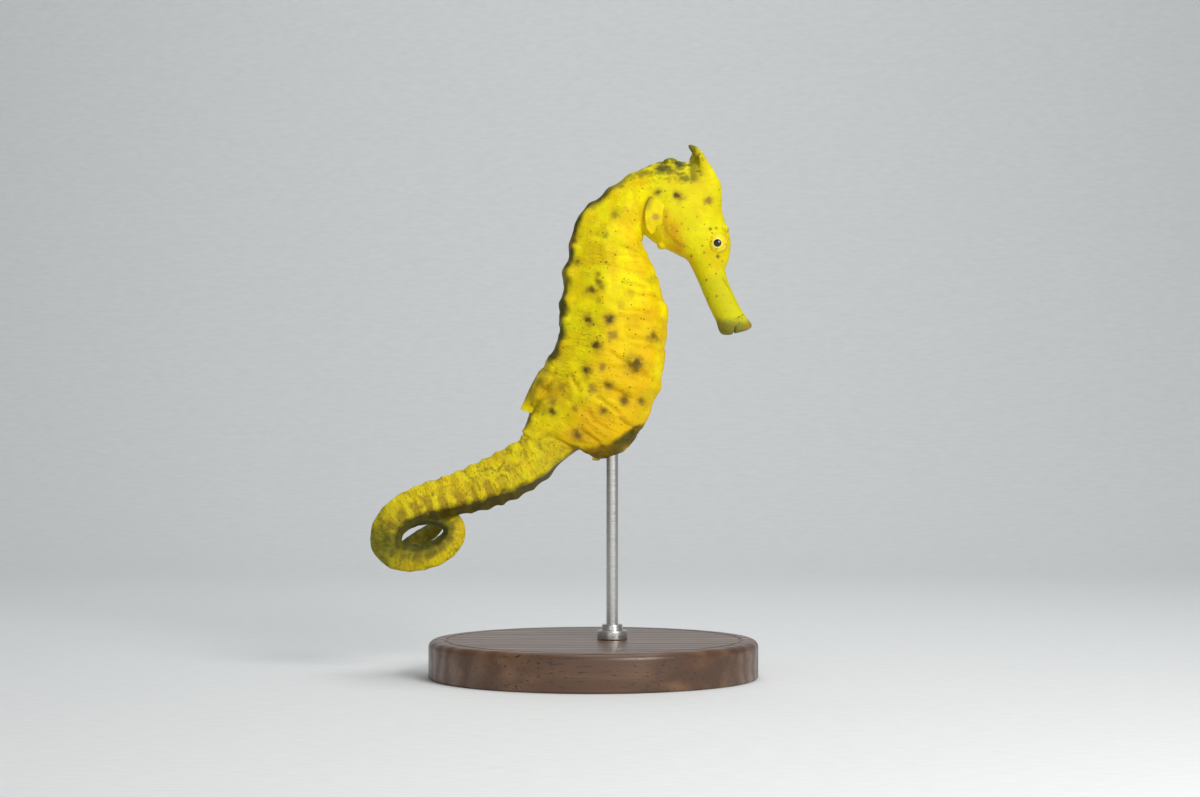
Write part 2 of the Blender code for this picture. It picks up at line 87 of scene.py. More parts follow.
# %% Camera
VIEW_CENTRE = Vector((1.4, 0.0, 59.2))
VIEW_DISTANCE = 600.0
VIEW_WIDTH = 255.0
SENSOR = 36.0

camera = bpy.data.objects.new("camera", bpy.data.cameras.new("camera"))
bpy.context.scene.collection.objects.link(camera)
camera.data.sensor_width = SENSOR
camera.data.lens = SENSOR * VIEW_DISTANCE / VIEW_WIDTH
camera.data.clip_start = 0.01
camera.location = (VIEW_CENTRE - Vector((0, VIEW_DISTANCE, 0))) * MM
camera.rotation_euler = (math.radians(90), 0, 0)
bpy.context.scene.camera = camera
bpy.context.scene.view_settings.view_transform = "Standard"
print(f"lens {camera.data.lens:.1f} mm")


# %% Helpers for materials
def new_material(name, **values):
    """A material and its main shader; values are the shader's sockets, with _ for a space."""
    material = bpy.data.materials.new(name)
    material.use_nodes = True
    shader = material.node_tree.nodes["Principled BSDF"]
    for socket, value in values.items():
        shader.inputs[socket.replace("_", " ")].default_value = value
    return material, material.node_tree, shader


def add_node(tree, kind, sockets=None, **settings):
    """A node with its settings, and its sockets either linked or given a value."""
    node = tree.nodes.new(kind)
    for setting, value in settings.items():
        setattr(node, setting, value)
    for socket, value in (sockets or {}).items():
        if isinstance(value, bpy.types.NodeSocket):
            tree.links.new(value, node.inputs[socket])
        else:
            node.inputs[socket].default_value = value
    return node


def blend_colours(tree, amount, first, second):
    """The colour first where amount is 0, second where it is 1."""
    node = add_node(tree, "ShaderNodeMix", data_type="RGBA")
    for socket, value in ((0, amount), (6, first), (7, second)):
        if isinstance(value, bpy.types.NodeSocket):
            tree.links.new(value, node.inputs[socket])
        else:
            node.inputs[socket].default_value = value
    return node.outputs[2]


def scale_range(tree, value, low, high, to_low=0.0, to_high=1.0):
    """The value, moved from the range low..high to the range to_low..to_high, and kept inside."""
    sockets = {"Value": value, 1: low, 2: high, 3: to_low, 4: to_high}
    return add_node(tree, "ShaderNodeMapRange", sockets).outputs[0]


def arithmetic(tree, operation, first, second):
    node = add_node(tree, "ShaderNodeMath", {0: first, 1: second}, operation=operation)
    return node.outputs[0]


def stretch(tree, vector, scale):
    """The vector with each part scaled, which squeezes a texture most where the scale is large."""
    return add_node(tree, "ShaderNodeMapping", {"Vector": vector, "Scale": scale}).outputs[0]


def add_noise(tree, vector, scale, detail, **sockets):
    sockets = {"Vector": vector, "Scale": scale, "Detail": detail, **sockets}
    return add_node(tree, "ShaderNodeTexNoise", sockets).outputs["Fac"]


def press_in(tree, shader, height, strength, distance, **settings):
    """Adds a bump from a height to the shader; distance is its depth in metres."""
    sockets = {"Height": height, "Strength": strength, "Distance": distance}
    bump = add_node(tree, "ShaderNodeBump", sockets, **settings)
    tree.links.new(bump.outputs[0], shader.inputs["Normal"])


def put_in_scene(obj):
    bpy.context.scene.collection.objects.link(obj)
    return obj


print("view transform:", bpy.context.scene.view_settings.view_transform)


# %% Floor and backdrop in one strip
def sweep_paper(width=4000.0, front=-900.0, back=700.0, height=1500.0, bend=350.0, steps=16):
    profile = [(front, 0.0), (back - bend, 0.0)]
    for i in range(1, steps + 1):
        turn = math.pi / 2 * i / steps
        profile.append((back - bend + bend * math.sin(turn), bend - bend * math.cos(turn)))
    profile.append((back, height))
    bm = bmesh.new()
    left = [bm.verts.new(Vector((-width / 2, y, z)) * MM) for y, z in profile]
    right = [bm.verts.new(Vector((width / 2, y, z)) * MM) for y, z in profile]
    for i in range(len(profile) - 1):
        bm.faces.new((left[i], right[i], right[i + 1], left[i + 1]))
    mesh = bpy.data.meshes.new("paper_sweep")
    bm.to_mesh(mesh)
    bm.free()
    mesh.shade_smooth()
    return put_in_scene(bpy.data.objects.new("paper_sweep", mesh))


paper_material, paper_tree, paper_shader = new_material("Pale paper", Roughness=0.9)
paper_grain = add_node(paper_tree, "ShaderNodeTexNoise", {"Scale": 900.0, "Detail": 3.0})
paper_tint = scale_range(paper_tree, paper_grain.outputs["Fac"], 0.3, 0.7)
paper_colour = blend_colours(paper_tree, paper_tint, (0.74, 0.76, 0.77, 1), (0.78, 0.80, 0.81, 1))
paper_tree.links.new(paper_colour, paper_shader.inputs["Base Color"])
paper = sweep_paper()
paper.data.materials.append(paper_material)
paper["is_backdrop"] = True
print("paper sweep:", len(paper.data.polygons), "faces")


# %% Lights
def add_softbox(name, place, target, size, power, colour=(1.0, 1.0, 1.0)):
    """A square lamp at place, facing target, both in millimetres."""
    lamp = bpy.data.lights.new(name, "AREA")
    lamp.size = size * MM
    lamp.energy = power
    lamp.color = colour
    obj = put_in_scene(bpy.data.objects.new(name, lamp))
    obj.location = Vector(place) * MM
    obj.rotation_euler = (Vector(target) - Vector(place)).to_track_quat("-Z", "Y").to_euler()
    return obj


middle = (0, 0, 65)
add_softbox("key_light", (270, -450, 280), middle, 220, 2.35, (1.0, 0.98, 0.94))
add_softbox("fill_light", (-150, -620, 120), middle, 420, 0.5, (1.0, 0.99, 0.97))
add_softbox("top_light", (60, -20, 460), middle, 260, 0.7)
add_softbox("paper_light", (0, 260, 520), (0, 620, 60), 300, 0.75)
world = bpy.data.worlds.new("studio")
world.use_nodes = True
world.node_tree.nodes["Background"].inputs["Color"].default_value = (0.95, 0.97, 1.0, 1)
world.node_tree.nodes["Background"].inputs["Strength"].default_value = 0.22
bpy.context.scene.world = world

# %% [markdown]
# ## The stand
#
# The animal lives in mid-water, so the model needs something to hold it up: a turned walnut disc,
# a steel ferrule and a steel rod. All three are round, so each is a profile turned about an axis.
# Blender's Screw modifier does that, and so does this short function, which keeps the profile's
# points in one readable list and closes the shape without any merging.


# %% Turned pieces
def turn_profile(name, profile, x, sides):
    """A solid of revolution about a vertical axis at x, from (radius, height) points, base first."""
    bm = bmesh.new()
    rings = []
    for radius, height in profile:
        if radius == 0:
            rings.append([bm.verts.new(Vector((x, 0, height)) * MM)])
            continue
        turns = [math.tau * i / sides for i in range(sides)]
        places = [(x + radius * math.cos(t), radius * math.sin(t), height) for t in turns]
        rings.append([bm.verts.new(Vector(place) * MM) for place in places])
    for low, high in zip(rings, rings[1:]):
        for i in range(sides):
            j = (i + 1) % sides
            corners = [low[i % len(low)], low[j % len(low)], high[j % len(high)], high[i % len(high)]]
            bm.faces.new(list(dict.fromkeys(corners)))
    bmesh.ops.recalc_face_normals(bm, faces=bm.faces)
    mesh = bpy.data.meshes.new(name)
    bm.to_mesh(mesh)
    bm.free()
    mesh.shade_smooth()
    mesh.set_sharp_from_angle(angle=math.radians(35))
    return put_in_scene(bpy.data.objects.new(name, mesh))


def rounded_edge(radius, height, edge, outward_first, steps=6):
    """The profile of a rounded rim: up the side and over, or under and up the side."""
    points = []
    for i in range(steps + 1):
        turn = math.pi / 2 * i / steps
        if outward_first:
            points.append((radius - edge + edge * math.sin(turn), height + edge - edge * math.cos(turn)))
        else:
            points.append((radius - edge + edge * math.cos(turn), height - edge + edge * math.sin(turn)))
    return points


base_radius, base_top = base_high.x, base_high.z
base_profile = [(0, 0), *rounded_edge(base_radius, 0, 0.6, True)]
base_profile += [*rounded_edge(base_radius, base_top, 1.4, False), (base_radius - 3.2, base_top)]
base_profile += [(base_radius - 3.6, base_top - 0.35), (base_radius - 4.0, base_top), (0, base_top)]
stand_base = turn_profile("turned_base", base_profile, 0.0, 160)

rod_x, rod_radius = (rod_low.x + rod_high.x) / 2, (rod_high.x - rod_low.x) / 2
ferrule_low, ferrule_high = (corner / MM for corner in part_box("stand_ferrule"))
ferrule_radius = (ferrule_high.x - ferrule_low.x) / 2
waist = ferrule_high.z - 1.3
ferrule_profile = [(0, base_top), *rounded_edge(ferrule_radius, base_top, 0.3, True)]
ferrule_profile += [*rounded_edge(ferrule_radius, waist, 0.4, False), (2.3, waist + 0.1)]
ferrule_profile += [*rounded_edge(2.2, ferrule_high.z, 0.4, False), (0, ferrule_high.z)]
stand_ferrule = turn_profile("turned_ferrule", ferrule_profile, rod_x, 96)
rod_profile = [(0, rod_low.z), (rod_radius, rod_low.z), (rod_radius, rod_high.z), (0, rod_high.z)]
stand_rod = turn_profile("polished_rod", rod_profile, rod_x, 64)
for piece, node, slot in (
    (stand_base, "stand_base", "wood"),
    (stand_ferrule, "stand_ferrule", "steel"),
    (stand_rod, "stand_rod", "steel"),
):
    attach(piece, "root")
    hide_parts(node)
print(f"base {2 * base_radius:.0f} mm across, rod {rod_high.z - rod_low.z:.0f} mm long")

# %% [markdown]
# Walnut is dark, with long wavy grain lines and short dark pores that follow them. A Wave texture
# bent by noise gives the lines, and a second noise, stretched along the grain, gives the pores.
# The disc is cut from a plank, so the grain runs along X over the top and down the edge. Object
# coordinates do that by themselves, because they go through the solid and not round its surface.

# %% Walnut
wood_material, wood_tree, wood_shader = new_material(
    "Satin walnut", Coat_Weight=0.25, Coat_Roughness=0.25
)
wood_place = add_node(wood_tree, "ShaderNodeTexCoord").outputs["Object"]
plank = stretch(wood_tree, wood_place, (18.0, 120.0, 170.0))
plank_noise = add_noise(wood_tree, plank, 1.0, 6.0, Distortion=0.7)
grain = add_node(
    wood_tree,
    "ShaderNodeTexWave",
    {"Vector": plank, "Scale": 0.55, "Distortion": 7.0, "Detail": 3.0, "Detail Scale": 1.4},
    bands_direction="Y",
)
pores = add_noise(wood_tree, stretch(wood_tree, wood_place, (160.0, 2600.0, 2600.0)), 1.0, 2.0)
pore_mask = scale_range(wood_tree, pores, 0.60, 0.70)
grain_share = grain.outputs["Fac"]
heartwood = blend_colours(wood_tree, grain_share, (0.105, 0.048, 0.022, 1), (0.20, 0.105, 0.052, 1))
streaks = scale_range(wood_tree, plank_noise, 0.35, 0.7)
heartwood = blend_colours(wood_tree, streaks, heartwood, (0.075, 0.034, 0.016, 1))
heartwood = blend_colours(wood_tree, pore_mask, heartwood, (0.03, 0.014, 0.008, 1))
wood_tree.links.new(heartwood, wood_shader.inputs["Base Color"])
wood_rough = scale_range(wood_tree, grain_share, 0.0, 1.0, 0.48, 0.36)
wood_tree.links.new(wood_rough, wood_shader.inputs["Roughness"])
press_in(wood_tree, wood_shader, pore_mask, 0.25, 0.0001, invert=True)
stand_base.data.materials.append(wood_material)
print("walnut nodes:", len(wood_tree.nodes))

# %% [markdown]
# Brushed steel isn't a different metal from polished steel: it is scratched in one direction. The
# scratches here run round the rod, as a lathe leaves them, so the noise is squeezed along Z.

# %% Brushed steel
steel_material, steel_tree, steel_shader = new_material("Turned steel", Metallic=1.0)
steel_place = add_node(steel_tree, "ShaderNodeTexCoord").outputs["Object"]
lathe = stretch(steel_tree, steel_place, (150.0, 150.0, 9000.0))
scratches = add_noise(steel_tree, lathe, 1.0, 4.0)
steel_rough = scale_range(steel_tree, scratches, 0.3, 0.7, 0.24, 0.42)
steel_tree.links.new(steel_rough, steel_shader.inputs["Roughness"])
steel_colour = blend_colours(steel_tree, scratches, (0.50, 0.50, 0.49, 1), (0.66, 0.65, 0.63, 1))
steel_tree.links.new(steel_colour, steel_shader.inputs["Base Color"])
press_in(steel_tree, steel_shader, scratches, 0.12, 0.00005)
for piece in (stand_ferrule, stand_rod):
    piece.data.materials.append(steel_material)
print("steel nodes:", len(steel_tree.nodes))

# %% [markdown]
# ## The seahorse's body line
#
# The whole animal, from lips to tail tip, is one tube with a changing section. The tube is
# described by two lines in the plane of symmetry, one down the back and one down the throat and
# belly, and by its width. At each named station a section stands between the two lines. Where the
# neck bends sharply the sections fan out from the throat, which two lines do well and one centre
# line does badly. All sizes are in millimetres, from the point where the rod enters the body.

# %% Stations: back point, belly point, half width, bias towards the back, angularity
ROD_INSERT = 7.0
body_origin = Vector((rod_x, 0.0, rod_high.z - ROD_INSERT))
BODY_PLACE = Matrix.Translation(body_origin * MM) @ Matrix.Scale(MM, 4)
STATIONS = (
    ("mouth", (30.0, 27.6), (23.4, 25.8), 2.5, 0.0, 0.0),
    ("lips", (28.7, 29.5), (22.4, 28.4), 2.8, 0.0, 0.0),
    ("snout_waist", (26.3, 33.8), (20.6, 32.1), 2.3, 0.0, 0.0),
    ("snout_root", (24.0, 39.9), (17.4, 39.4), 2.9, -0.05, 0.0),
    ("nose", (24.9, 42.7), (15.9, 42.1), 3.6, -0.15, 0.0),
    ("eye", (25.1, 46.8), (14.0, 43.1), 4.2, -0.15, 0.0),
    ("forehead", (23.4, 52.3), (12.1, 44.1), 4.8, -0.25, 0.0),
    ("crown", (22.5, 59.5), (10.2, 45.0), 5.0, -0.3, 0.0),
    ("occiput", (13.6, 63.3), (8.0, 46.5), 4.9, -0.25, 0.0),
    ("nape", (9.2, 62.8), (6.9, 47.3), 4.6, -0.15, 0.2),
    ("neck", (4.2, 60.6), (6.6, 47.3), 4.4, -0.1, 0.5),
    ("shoulder", (-3.0, 55.5), (6.8, 45.7), 4.8, 0.0, 0.7),
    ("upper_back", (-8.0, 50.6), (7.6, 43.6), 5.4, 0.0, 0.8),
    ("chest", (-9.3, 44.2), (9.6, 39.9), 6.0, 0.0, 0.8),
    ("breast", (-10.6, 38.2), (11.0, 35.7), 6.8, 0.0, 0.8),
    ("belly", (-11.4, 31.4), (12.2, 29.1), 7.5, 0.0, 0.8),
    ("low_belly", (-12.2, 25.1), (11.7, 20.4), 7.9, 0.0, 0.8),
    ("keel", (-14.1, 19.6), (10.3, 13.6), 7.8, 0.0, 0.8),
    ("vent_corner", (-15.9, 14.9), (6.0, 4.3), 7.0, 0.0, 0.8),
    ("vent", (-16.9, 11.9), (1.8, 0.3), 6.4, 0.0, 0.8),
    ("anal", (-17.5, 10.0), (-2.3, -0.4), 6.0, 0.0, 0.8),
    ("tail_root", (-19.2, 7.0), (-6.4, 1.5), 5.6, 0.0, 0.85),
)
TAIL_RUN = ((-17.3, -0.6), (-25.7, -5.2), (-34.0, -7.9), (-40.4, -9.5), (-44.8, -11.8), (-47.4, -14.7))
TAIL_END = (
    (-46.1, 7.7, -19.6), (-44.1, 8.4, -18.9), (-41.8, 9.0, -17.1), (-39.3, 9.5, -15.5), (-36.6, 9.9, -13.9),
)  # fmt: skip
TAIL_RADII = (  # share of the tail's length, radius
    (0.0, 5.7), (0.077, 5.2), (0.177, 4.8), (0.33, 3.6),
    (0.5, 2.85), (0.66, 2.35), (0.85, 1.6), (1.0, 0.95),
)  # fmt: skip
TAIL_ROLL, TAIL_ROLL_LENGTH = math.radians(25), 13.0
BEND_SIDEWAYS = -2.0  # how far the tail has left the middle plane where its turn begins
print(len(STATIONS), "stations")


# %% [markdown]
# The tail runs down and back, then winds once round an oval. A coil that stayed in one plane
# would run into itself, so the turn also leans away to the left side, like a corkscrew seen end
# on, and the tip then crosses behind its opening. The oval is a formula, and only the straight
# run and the tip are lists of points. Many things on this body fade in or out smoothly along a
# length, so that gets its own small functions.


# %% Tail route
def smooth_step(value):
    value = np.clip(value, 0.0, 1.0)
    return value * value * (3.0 - 2.0 * value)


def rising(value, start, width):
    """0 up to start, 1 from start + width on, smooth between."""
    return smooth_step((value - start) / width)


def falling(value, end, width):
    """1 up to end - width, 0 from end on, smooth between."""
    return smooth_step((end - value) / width)


def tail_route(centre=(-40.8, -16.6), half_length=7.2, half_height=4.3, tilt=12.0, pitch=9.0, steps=12):
    route = []
    for i, (x, z) in enumerate(TAIL_RUN):
        route.append((x, BEND_SIDEWAYS * smooth_step((i + 1) / len(TAIL_RUN)), z))
    tilt = math.radians(tilt)
    for degrees in np.linspace(180, 540, steps + 1):
        turn = math.radians(degrees)
        size = 1.0 - 0.15 * rising(degrees, 400, 140)
        along, across = size * half_length * math.cos(turn), size * half_height * math.sin(turn)
        x = centre[0] + along * math.cos(tilt) - across * math.sin(tilt)
        z = centre[1] + along * math.sin(tilt) + across * math.cos(tilt)
        route.append((x, BEND_SIDEWAYS + pitch * (degrees - 180) / 360, z))
    return np.array([*route, *TAIL_END])


print("tail points:", len(tail_route()))


# %% Body rows
# Columns of a row: back point, belly point, half width, bias, angularity, tail share, roll
BACK, BELLY, HALF_WIDTH, TAIL_SHARE = slice(0, 3), slice(3, 6), 6, 9


def unit(vectors):
    return vectors / np.linalg.norm(vectors, axis=1)[:, None]


def body_rows():
    """A row for each station and tail point, and how far along the body each of them lies."""
    rows = [
        [back[0], 0.0, back[1], belly[0], 0.0, belly[1], half_width, bias, angular, 0.0, 0.0]
        for _name, back, belly, half_width, bias, angular in STATIONS
    ]
    rows[-1][TAIL_SHARE] = 0.5  # the tail's root is half trunk, half tail
    route = tail_route()
    root = (np.array(rows[-1][BACK]) + np.array(rows[-1][BELLY])) / 2
    travelled = np.cumsum(np.linalg.norm(np.diff(np.vstack([root, route]), axis=0), axis=1))
    for point, ahead, far in zip(route, np.gradient(route, axis=0), travelled):
        radius = float(np.interp(far / travelled[-1], *zip(*TAIL_RADII)))
        outward = unit(np.array([[ahead[2], 0.0, -ahead[0]]]))[0] * radius
        roll = TAIL_ROLL * smooth_step(far / TAIL_ROLL_LENGTH)
        rows.append([*(point + outward), *(point - outward), radius, 0.0, 0.85, 1.0, roll])
    rows = np.array(rows)
    centres = (rows[:, BACK] + rows[:, BELLY]) / 2
    keys = np.concatenate([[0.0], np.cumsum(np.linalg.norm(np.diff(centres, axis=0), axis=1))])
    return keys, rows


KEYS, ROWS = body_rows()
station_at = {station[0]: KEYS[i] for i, station in enumerate(STATIONS)}
TAIL_START, BODY_END = station_at["tail_root"], KEYS[-1]
print(f"body line {BODY_END:.0f} mm, of which tail {BODY_END - TAIL_START:.0f} mm")


# %% [markdown]
# ## Sections and rings
#
# A head section is an egg. A trunk section has seven ridges and a tail section four, where the
# bony plates meet. Straight lines between the ridges would look like cut card, so the corner
# lists are blurred round the section a little before use. Eleven rings of plates cover the trunk
# and thirty-three the tail, where each is a little shorter than the one before.


# %% Section outlines and ring edges
def smooth_corners(corners, blur_degrees):
    """Half a section's corners, 45 degrees apart, as smooth tables over a full turn."""
    half = np.array(corners)
    around = np.vstack([half, half[-2:0:-1] * (1, -1), half[:1]])
    degrees = np.arange(360)
    table = np.stack([np.interp(degrees, np.arange(9) * 45, around[:, k]) for k in (0, 1)])
    window = np.exp(-0.5 * (np.minimum(degrees, 360 - degrees) / blur_degrees) ** 2)
    window = np.fft.rfft(window / window.sum())
    return np.fft.irfft(np.fft.rfft(table) * window, 360)


TRUNK_TABLE = smooth_corners(((0.93, 0.0), (0.96, 0.42), (0.22, 1.0), (-0.64, 0.74), (-1.0, 0.0)), 12.0)
TAIL_TABLE = smooth_corners(((0.84, 0.0), (0.9, 0.86), (0.0, 0.9), (-0.9, 0.82), (-0.84, 0.0)), 8.0)
TRUNK_RINGS, TAIL_RINGS, TAIL_RING_SHRINK = 11, 33, 0.985

tail_lengths = TAIL_RING_SHRINK ** np.arange(TAIL_RINGS)
tail_edges = TAIL_START + (BODY_END - TAIL_START) * np.cumsum(tail_lengths) / tail_lengths.sum()
RING_EDGES = np.concatenate([np.linspace(station_at["neck"], TAIL_START, TRUNK_RINGS + 1), tail_edges])


def ring_phase(distance):
    """How far through its ring each point is, from 0 to 1, and that ring's length."""
    i = np.clip(np.searchsorted(RING_EDGES, distance) - 1, 0, len(RING_EDGES) - 2)
    length = RING_EDGES[i + 1] - RING_EDGES[i]
    return np.clip((distance - RING_EDGES[i]) / length, 0.0, 1.0), length


print("rings:", len(RING_EDGES) - 1)

# %% [markdown]
# Between the stations the sections change along a smooth curve (a cubic spline), so no kink
# shows at a station. One function then gives the surface point for any distance along the body
# and any angle round it. The net, the fins and the look-up of places all use it.


# %% The body's surface
MOUTH_ROUNDING, MOUTH_NARROWEST = 1.1, 0.55


def rows_at(distance):
    """The body's rows on a smooth curve through all stations, for an array of distances."""
    i = np.clip(np.searchsorted(KEYS, distance) - 1, 0, len(KEYS) - 2)
    before, after = np.maximum(i - 1, 0), np.minimum(i + 2, len(KEYS) - 1)
    width = (KEYS[i + 1] - KEYS[i])[:, None]
    share = (distance - KEYS[i])[:, None] / width
    leave = (ROWS[i + 1] - ROWS[before]) / (KEYS[i + 1] - KEYS[before])[:, None] * width
    arrive = (ROWS[after] - ROWS[i]) / (KEYS[after] - KEYS[i])[:, None] * width
    two, three = share**2, share**3
    near, far = ROWS[i] * (2 * three - 3 * two + 1), ROWS[i + 1] * (3 * two - 2 * three)
    return near + leave * (three - 2 * two + share) + far + arrive * (three - two)


def body_surface(distance, angle):
    """Surface points for a grid of distances and angles (0 at the back, a quarter turn at left)."""
    row = rows_at(distance)
    half_width, bias, angular, tail_share, roll = (row[:, k, None] for k in range(6, 11))
    ahead, behind = (rows_at(np.clip(distance + step, 0, BODY_END)) for step in (0.2, -0.2))
    forward = (ahead[:, BACK] + ahead[:, BELLY]) - (behind[:, BACK] + behind[:, BELLY])
    up = row[:, BACK] - row[:, BELLY]
    half_depth = np.linalg.norm(up, axis=1)[:, None] / 2
    up = up / (2 * half_depth)
    left = unit(np.cross(forward, up))
    centre = (row[:, BACK] + row[:, BELLY]) / 2
    degrees = np.degrees(angle) % 360
    tables = [
        np.interp(degrees, np.arange(361), np.append(table, table[0]))
        for table in (*TRUNK_TABLE, *TAIL_TABLE)
    ]
    corner_up = tables[0] + (tables[2] - tables[0]) * tail_share
    corner_out = tables[1] + (tables[3] - tables[1]) * tail_share
    up_share = np.cos(angle) * (1 - angular) + corner_up * angular
    out_share = np.sin(angle) * (1 + bias * np.cos(angle)) * (1 - angular) + corner_out * angular
    turned_up = up_share * np.cos(roll) - out_share * np.sin(roll)
    turned_out = out_share * np.cos(roll) + up_share * np.sin(roll)
    rounding = np.sqrt(1 - np.clip(1 - distance / MOUTH_ROUNDING, 0.0, 1.0) ** 2)
    size = (MOUTH_NARROWEST + (1 - MOUTH_NARROWEST) * rounding)[:, None]
    high = (half_depth * turned_up * size)[:, :, None] * up[:, None, :]
    wide = (half_width * turned_out * size)[:, :, None] * left[:, None, :]
    return centre[:, None, :] + high + wide


print(f"the body is {2 * ROWS[:, HALF_WIDTH].max():.1f} mm wide at its widest station")

# %% [markdown]
# ## One closed surface
#
# The tube alone is a regular net of points, which is easy to compute but can't grow a crest or
# knobs. Modelling those by hand into the net is slow, and Boolean unions leave hard seams. So the
# rough shapes are just laid over each other: the tube, the crest (coronet) on the crown, the
# flesh under the back fin and along the tail's end, and a few knobs of bone. Blender's voxel
# remesh then wraps a single even skin around all of them, as a sculptor blends clay, and a
# Smooth modifier softens the joins.


# %% Tools for rough shapes
ROUND_END = np.array((0.97, 0.88, 0.66, 0.2))


def net_mesh(bm, points):
    """Adds a closed tube from a grid of points (rows along it, columns around it)."""
    rows, columns = points.shape[:2]
    verts = [[bm.verts.new(point) for point in row] for row in points.tolist()]
    for i in range(rows - 1):
        for j in range(columns):
            k = (j + 1) % columns
            bm.faces.new((verts[i][j], verts[i][k], verts[i + 1][k], verts[i + 1][j]))
    bm.faces.new(verts[0][::-1])
    bm.faces.new(verts[-1])


def add_tapered_horn(bm, points, radii, widen=1.0, sides=20, steps=6):
    """Adds a smooth horn through (x, y, z) points, with a round end; widen makes it oval across."""
    points, radii = np.array(points, float), np.array(radii, float)
    share = np.linspace(0, 1, (len(points) - 1) * steps + 1)
    keys = np.linspace(0, 1, len(points))
    line = np.stack([np.interp(share, keys, points[:, k]) for k in range(3)], axis=1)
    for _ in range(steps):
        line[1:-1] = (line[:-2] + 2 * line[1:-1] + line[2:]) / 4
    width = np.interp(share, keys, radii)
    width[-len(ROUND_END) :] *= ROUND_END
    ahead = unit(np.gradient(line, axis=0))
    sideways = unit(np.cross(ahead, (0.0, 1.0, 0.0)))
    across = np.cross(sideways, ahead)
    turn = np.linspace(0, math.tau, sides, endpoint=False)[None, :, None]
    ring = sideways[:, None, :] * np.cos(turn) + across[:, None, :] * np.sin(turn) * widen
    net_mesh(bm, line[:, None, :] + ring * width[:, None, None])


def add_blob(bm, centre, radii):
    made = bmesh.ops.create_uvsphere(bm, u_segments=20, v_segments=12, radius=1.0)
    move = Matrix.Translation(centre) @ Matrix.Diagonal((*radii, 1.0))
    bmesh.ops.transform(bm, matrix=move, verts=made["verts"])


print("a horn's end narrows to", ROUND_END[-1], "of its width")

# %% Rough shapes
NET_STEP, NET_SIDES = 0.35, 160
net_distances = np.linspace(0.0, BODY_END, int(BODY_END / NET_STEP))
net_angles = np.linspace(0.0, math.tau, NET_SIDES, endpoint=False)
net_points = body_surface(net_distances, np.broadcast_to(net_angles, (len(net_distances), NET_SIDES)))

rough = bmesh.new()
net_mesh(rough, net_points)
# Each horn: its points, its radii, and its width across the body as a share of its depth
HORNS = (
    (  # front blade of the crest, bent back at its tip
        (
            (20.4, 0, 56.0), (20.8, 0, 59.0), (20.2, 0, 60.8), (18.9, 0, 62.8),
            (18.3, 0, 64.4), (17.6, 0, 65.5), (16.1, 0, 66.6),
        ),
        (2.6, 1.85, 1.5, 1.3, 1.15, 0.85, 0.45),
        1.1,
    ),
    (  # rear blade of the crest
        ((17.6, 0, 58.0), (17.4, 0, 61.2), (17.3, 0, 63.2), (17.3, 0, 64.8)),
        (2.6, 1.7, 1.0, 0.6),
        0.6,
    ),
    (((13.8, 0, 59.6), (14.6, 0, 61.2), (15.6, 0, 63.0)), (2.2, 1.5, 0.9), 1.0),  # crest's heel
    (  # flesh under the back fin
        (
            (-10.2, 0, 22.4), (-12.5, 0, 18.6), (-14.3, 0, 16.3),
            (-15.4, 0, 14.4), (-16.1, 0, 12.6), (-16.8, 0, 10.4),
        ),
        (0.8, 1.6, 1.8, 1.7, 1.3, 0.7),
        2.6,
    ),
    (  # flesh along the tail's end
        ((-43.6, 8.5, -18.9), (-41.3, 9.0, -17.5), (-38.9, 9.5, -16.0), (-36.4, 9.9, -14.1)),
        (1.3, 1.7, 1.6, 0.95),
        1.0,
    ),
)  # fmt: skip
# Each knob of bone on the head: its place on the left side, and its radii
HEAD_KNOBS = (
    ((23.9, 1.9, 48.7), (0.8, 1.0, 0.75)),
    ((23.7, 0.9, 43.6), (1.1, 1.0, 1.4)),
    ((10.5, 1.6, 45.4), (1.0, 1.0, 1.0)),
    ((12.4, 0.9, 62.9), (1.6, 1.3, 0.9)),
)
for horn_points, horn_radii, widen in HORNS:
    add_tapered_horn(rough, horn_points, horn_radii, widen)
for side in (-1, 1):
    add_tapered_horn(rough, ((18.8, side * 0.9, 62.8), (18.3, side * 1.5, 64.6)), (0.9, 0.4))
    for (x, y, z), radii in HEAD_KNOBS:
        add_blob(rough, (x, side * y, z), radii)
rough_mesh = bpy.data.meshes.new("rough_seahorse")
rough.to_mesh(rough_mesh)
rough.free()
print(f"rough net: {len(rough_mesh.vertices)} points")

# %% Wrap one skin around the rough shapes
VOXEL = 0.2
SMOOTH_PASSES = 6

seahorse = put_in_scene(bpy.data.objects.new("seahorse_skin", rough_mesh))
wrap = seahorse.modifiers.new("wrap", "REMESH")
wrap.mode = "VOXEL"
wrap.voxel_size = VOXEL
soften = seahorse.modifiers.new("soften", "SMOOTH")
soften.iterations = SMOOTH_PASSES
soften.factor = 0.5
wrapped = bpy.data.meshes.new_from_object(seahorse.evaluated_get(bpy.context.evaluated_depsgraph_get()))
seahorse.modifiers.clear()
seahorse.data = wrapped
bpy.data.meshes.remove(rough_mesh)
print(f"wrapped skin: {len(wrapped.vertices)} points, {len(wrapped.polygons)} faces")

# %% [markdown]
# ## Where is each point on the body?
#
# Relief and markings follow the rings, so each point of the new skin has to know how far along
# the body and how far round it lies. The old net still knows that. For each skin point, the
# nearest place on the net is looked up in a BVH tree (a search tree of faces), and its position
# inside that face gives an exact distance and angle.


# %% Look up the distance and angle of each skin point
TINY = 1e-9


def read_points(mesh):
    values = np.zeros(len(mesh.vertices) * 3)
    mesh.vertices.foreach_get("co", values)
    return values.reshape(-1, 3)


def read_normals(mesh):
    values = np.zeros(len(mesh.vertices) * 3, np.float32)
    mesh.vertex_normals.foreach_get("vector", values)
    return values.reshape(-1, 3).astype(float)


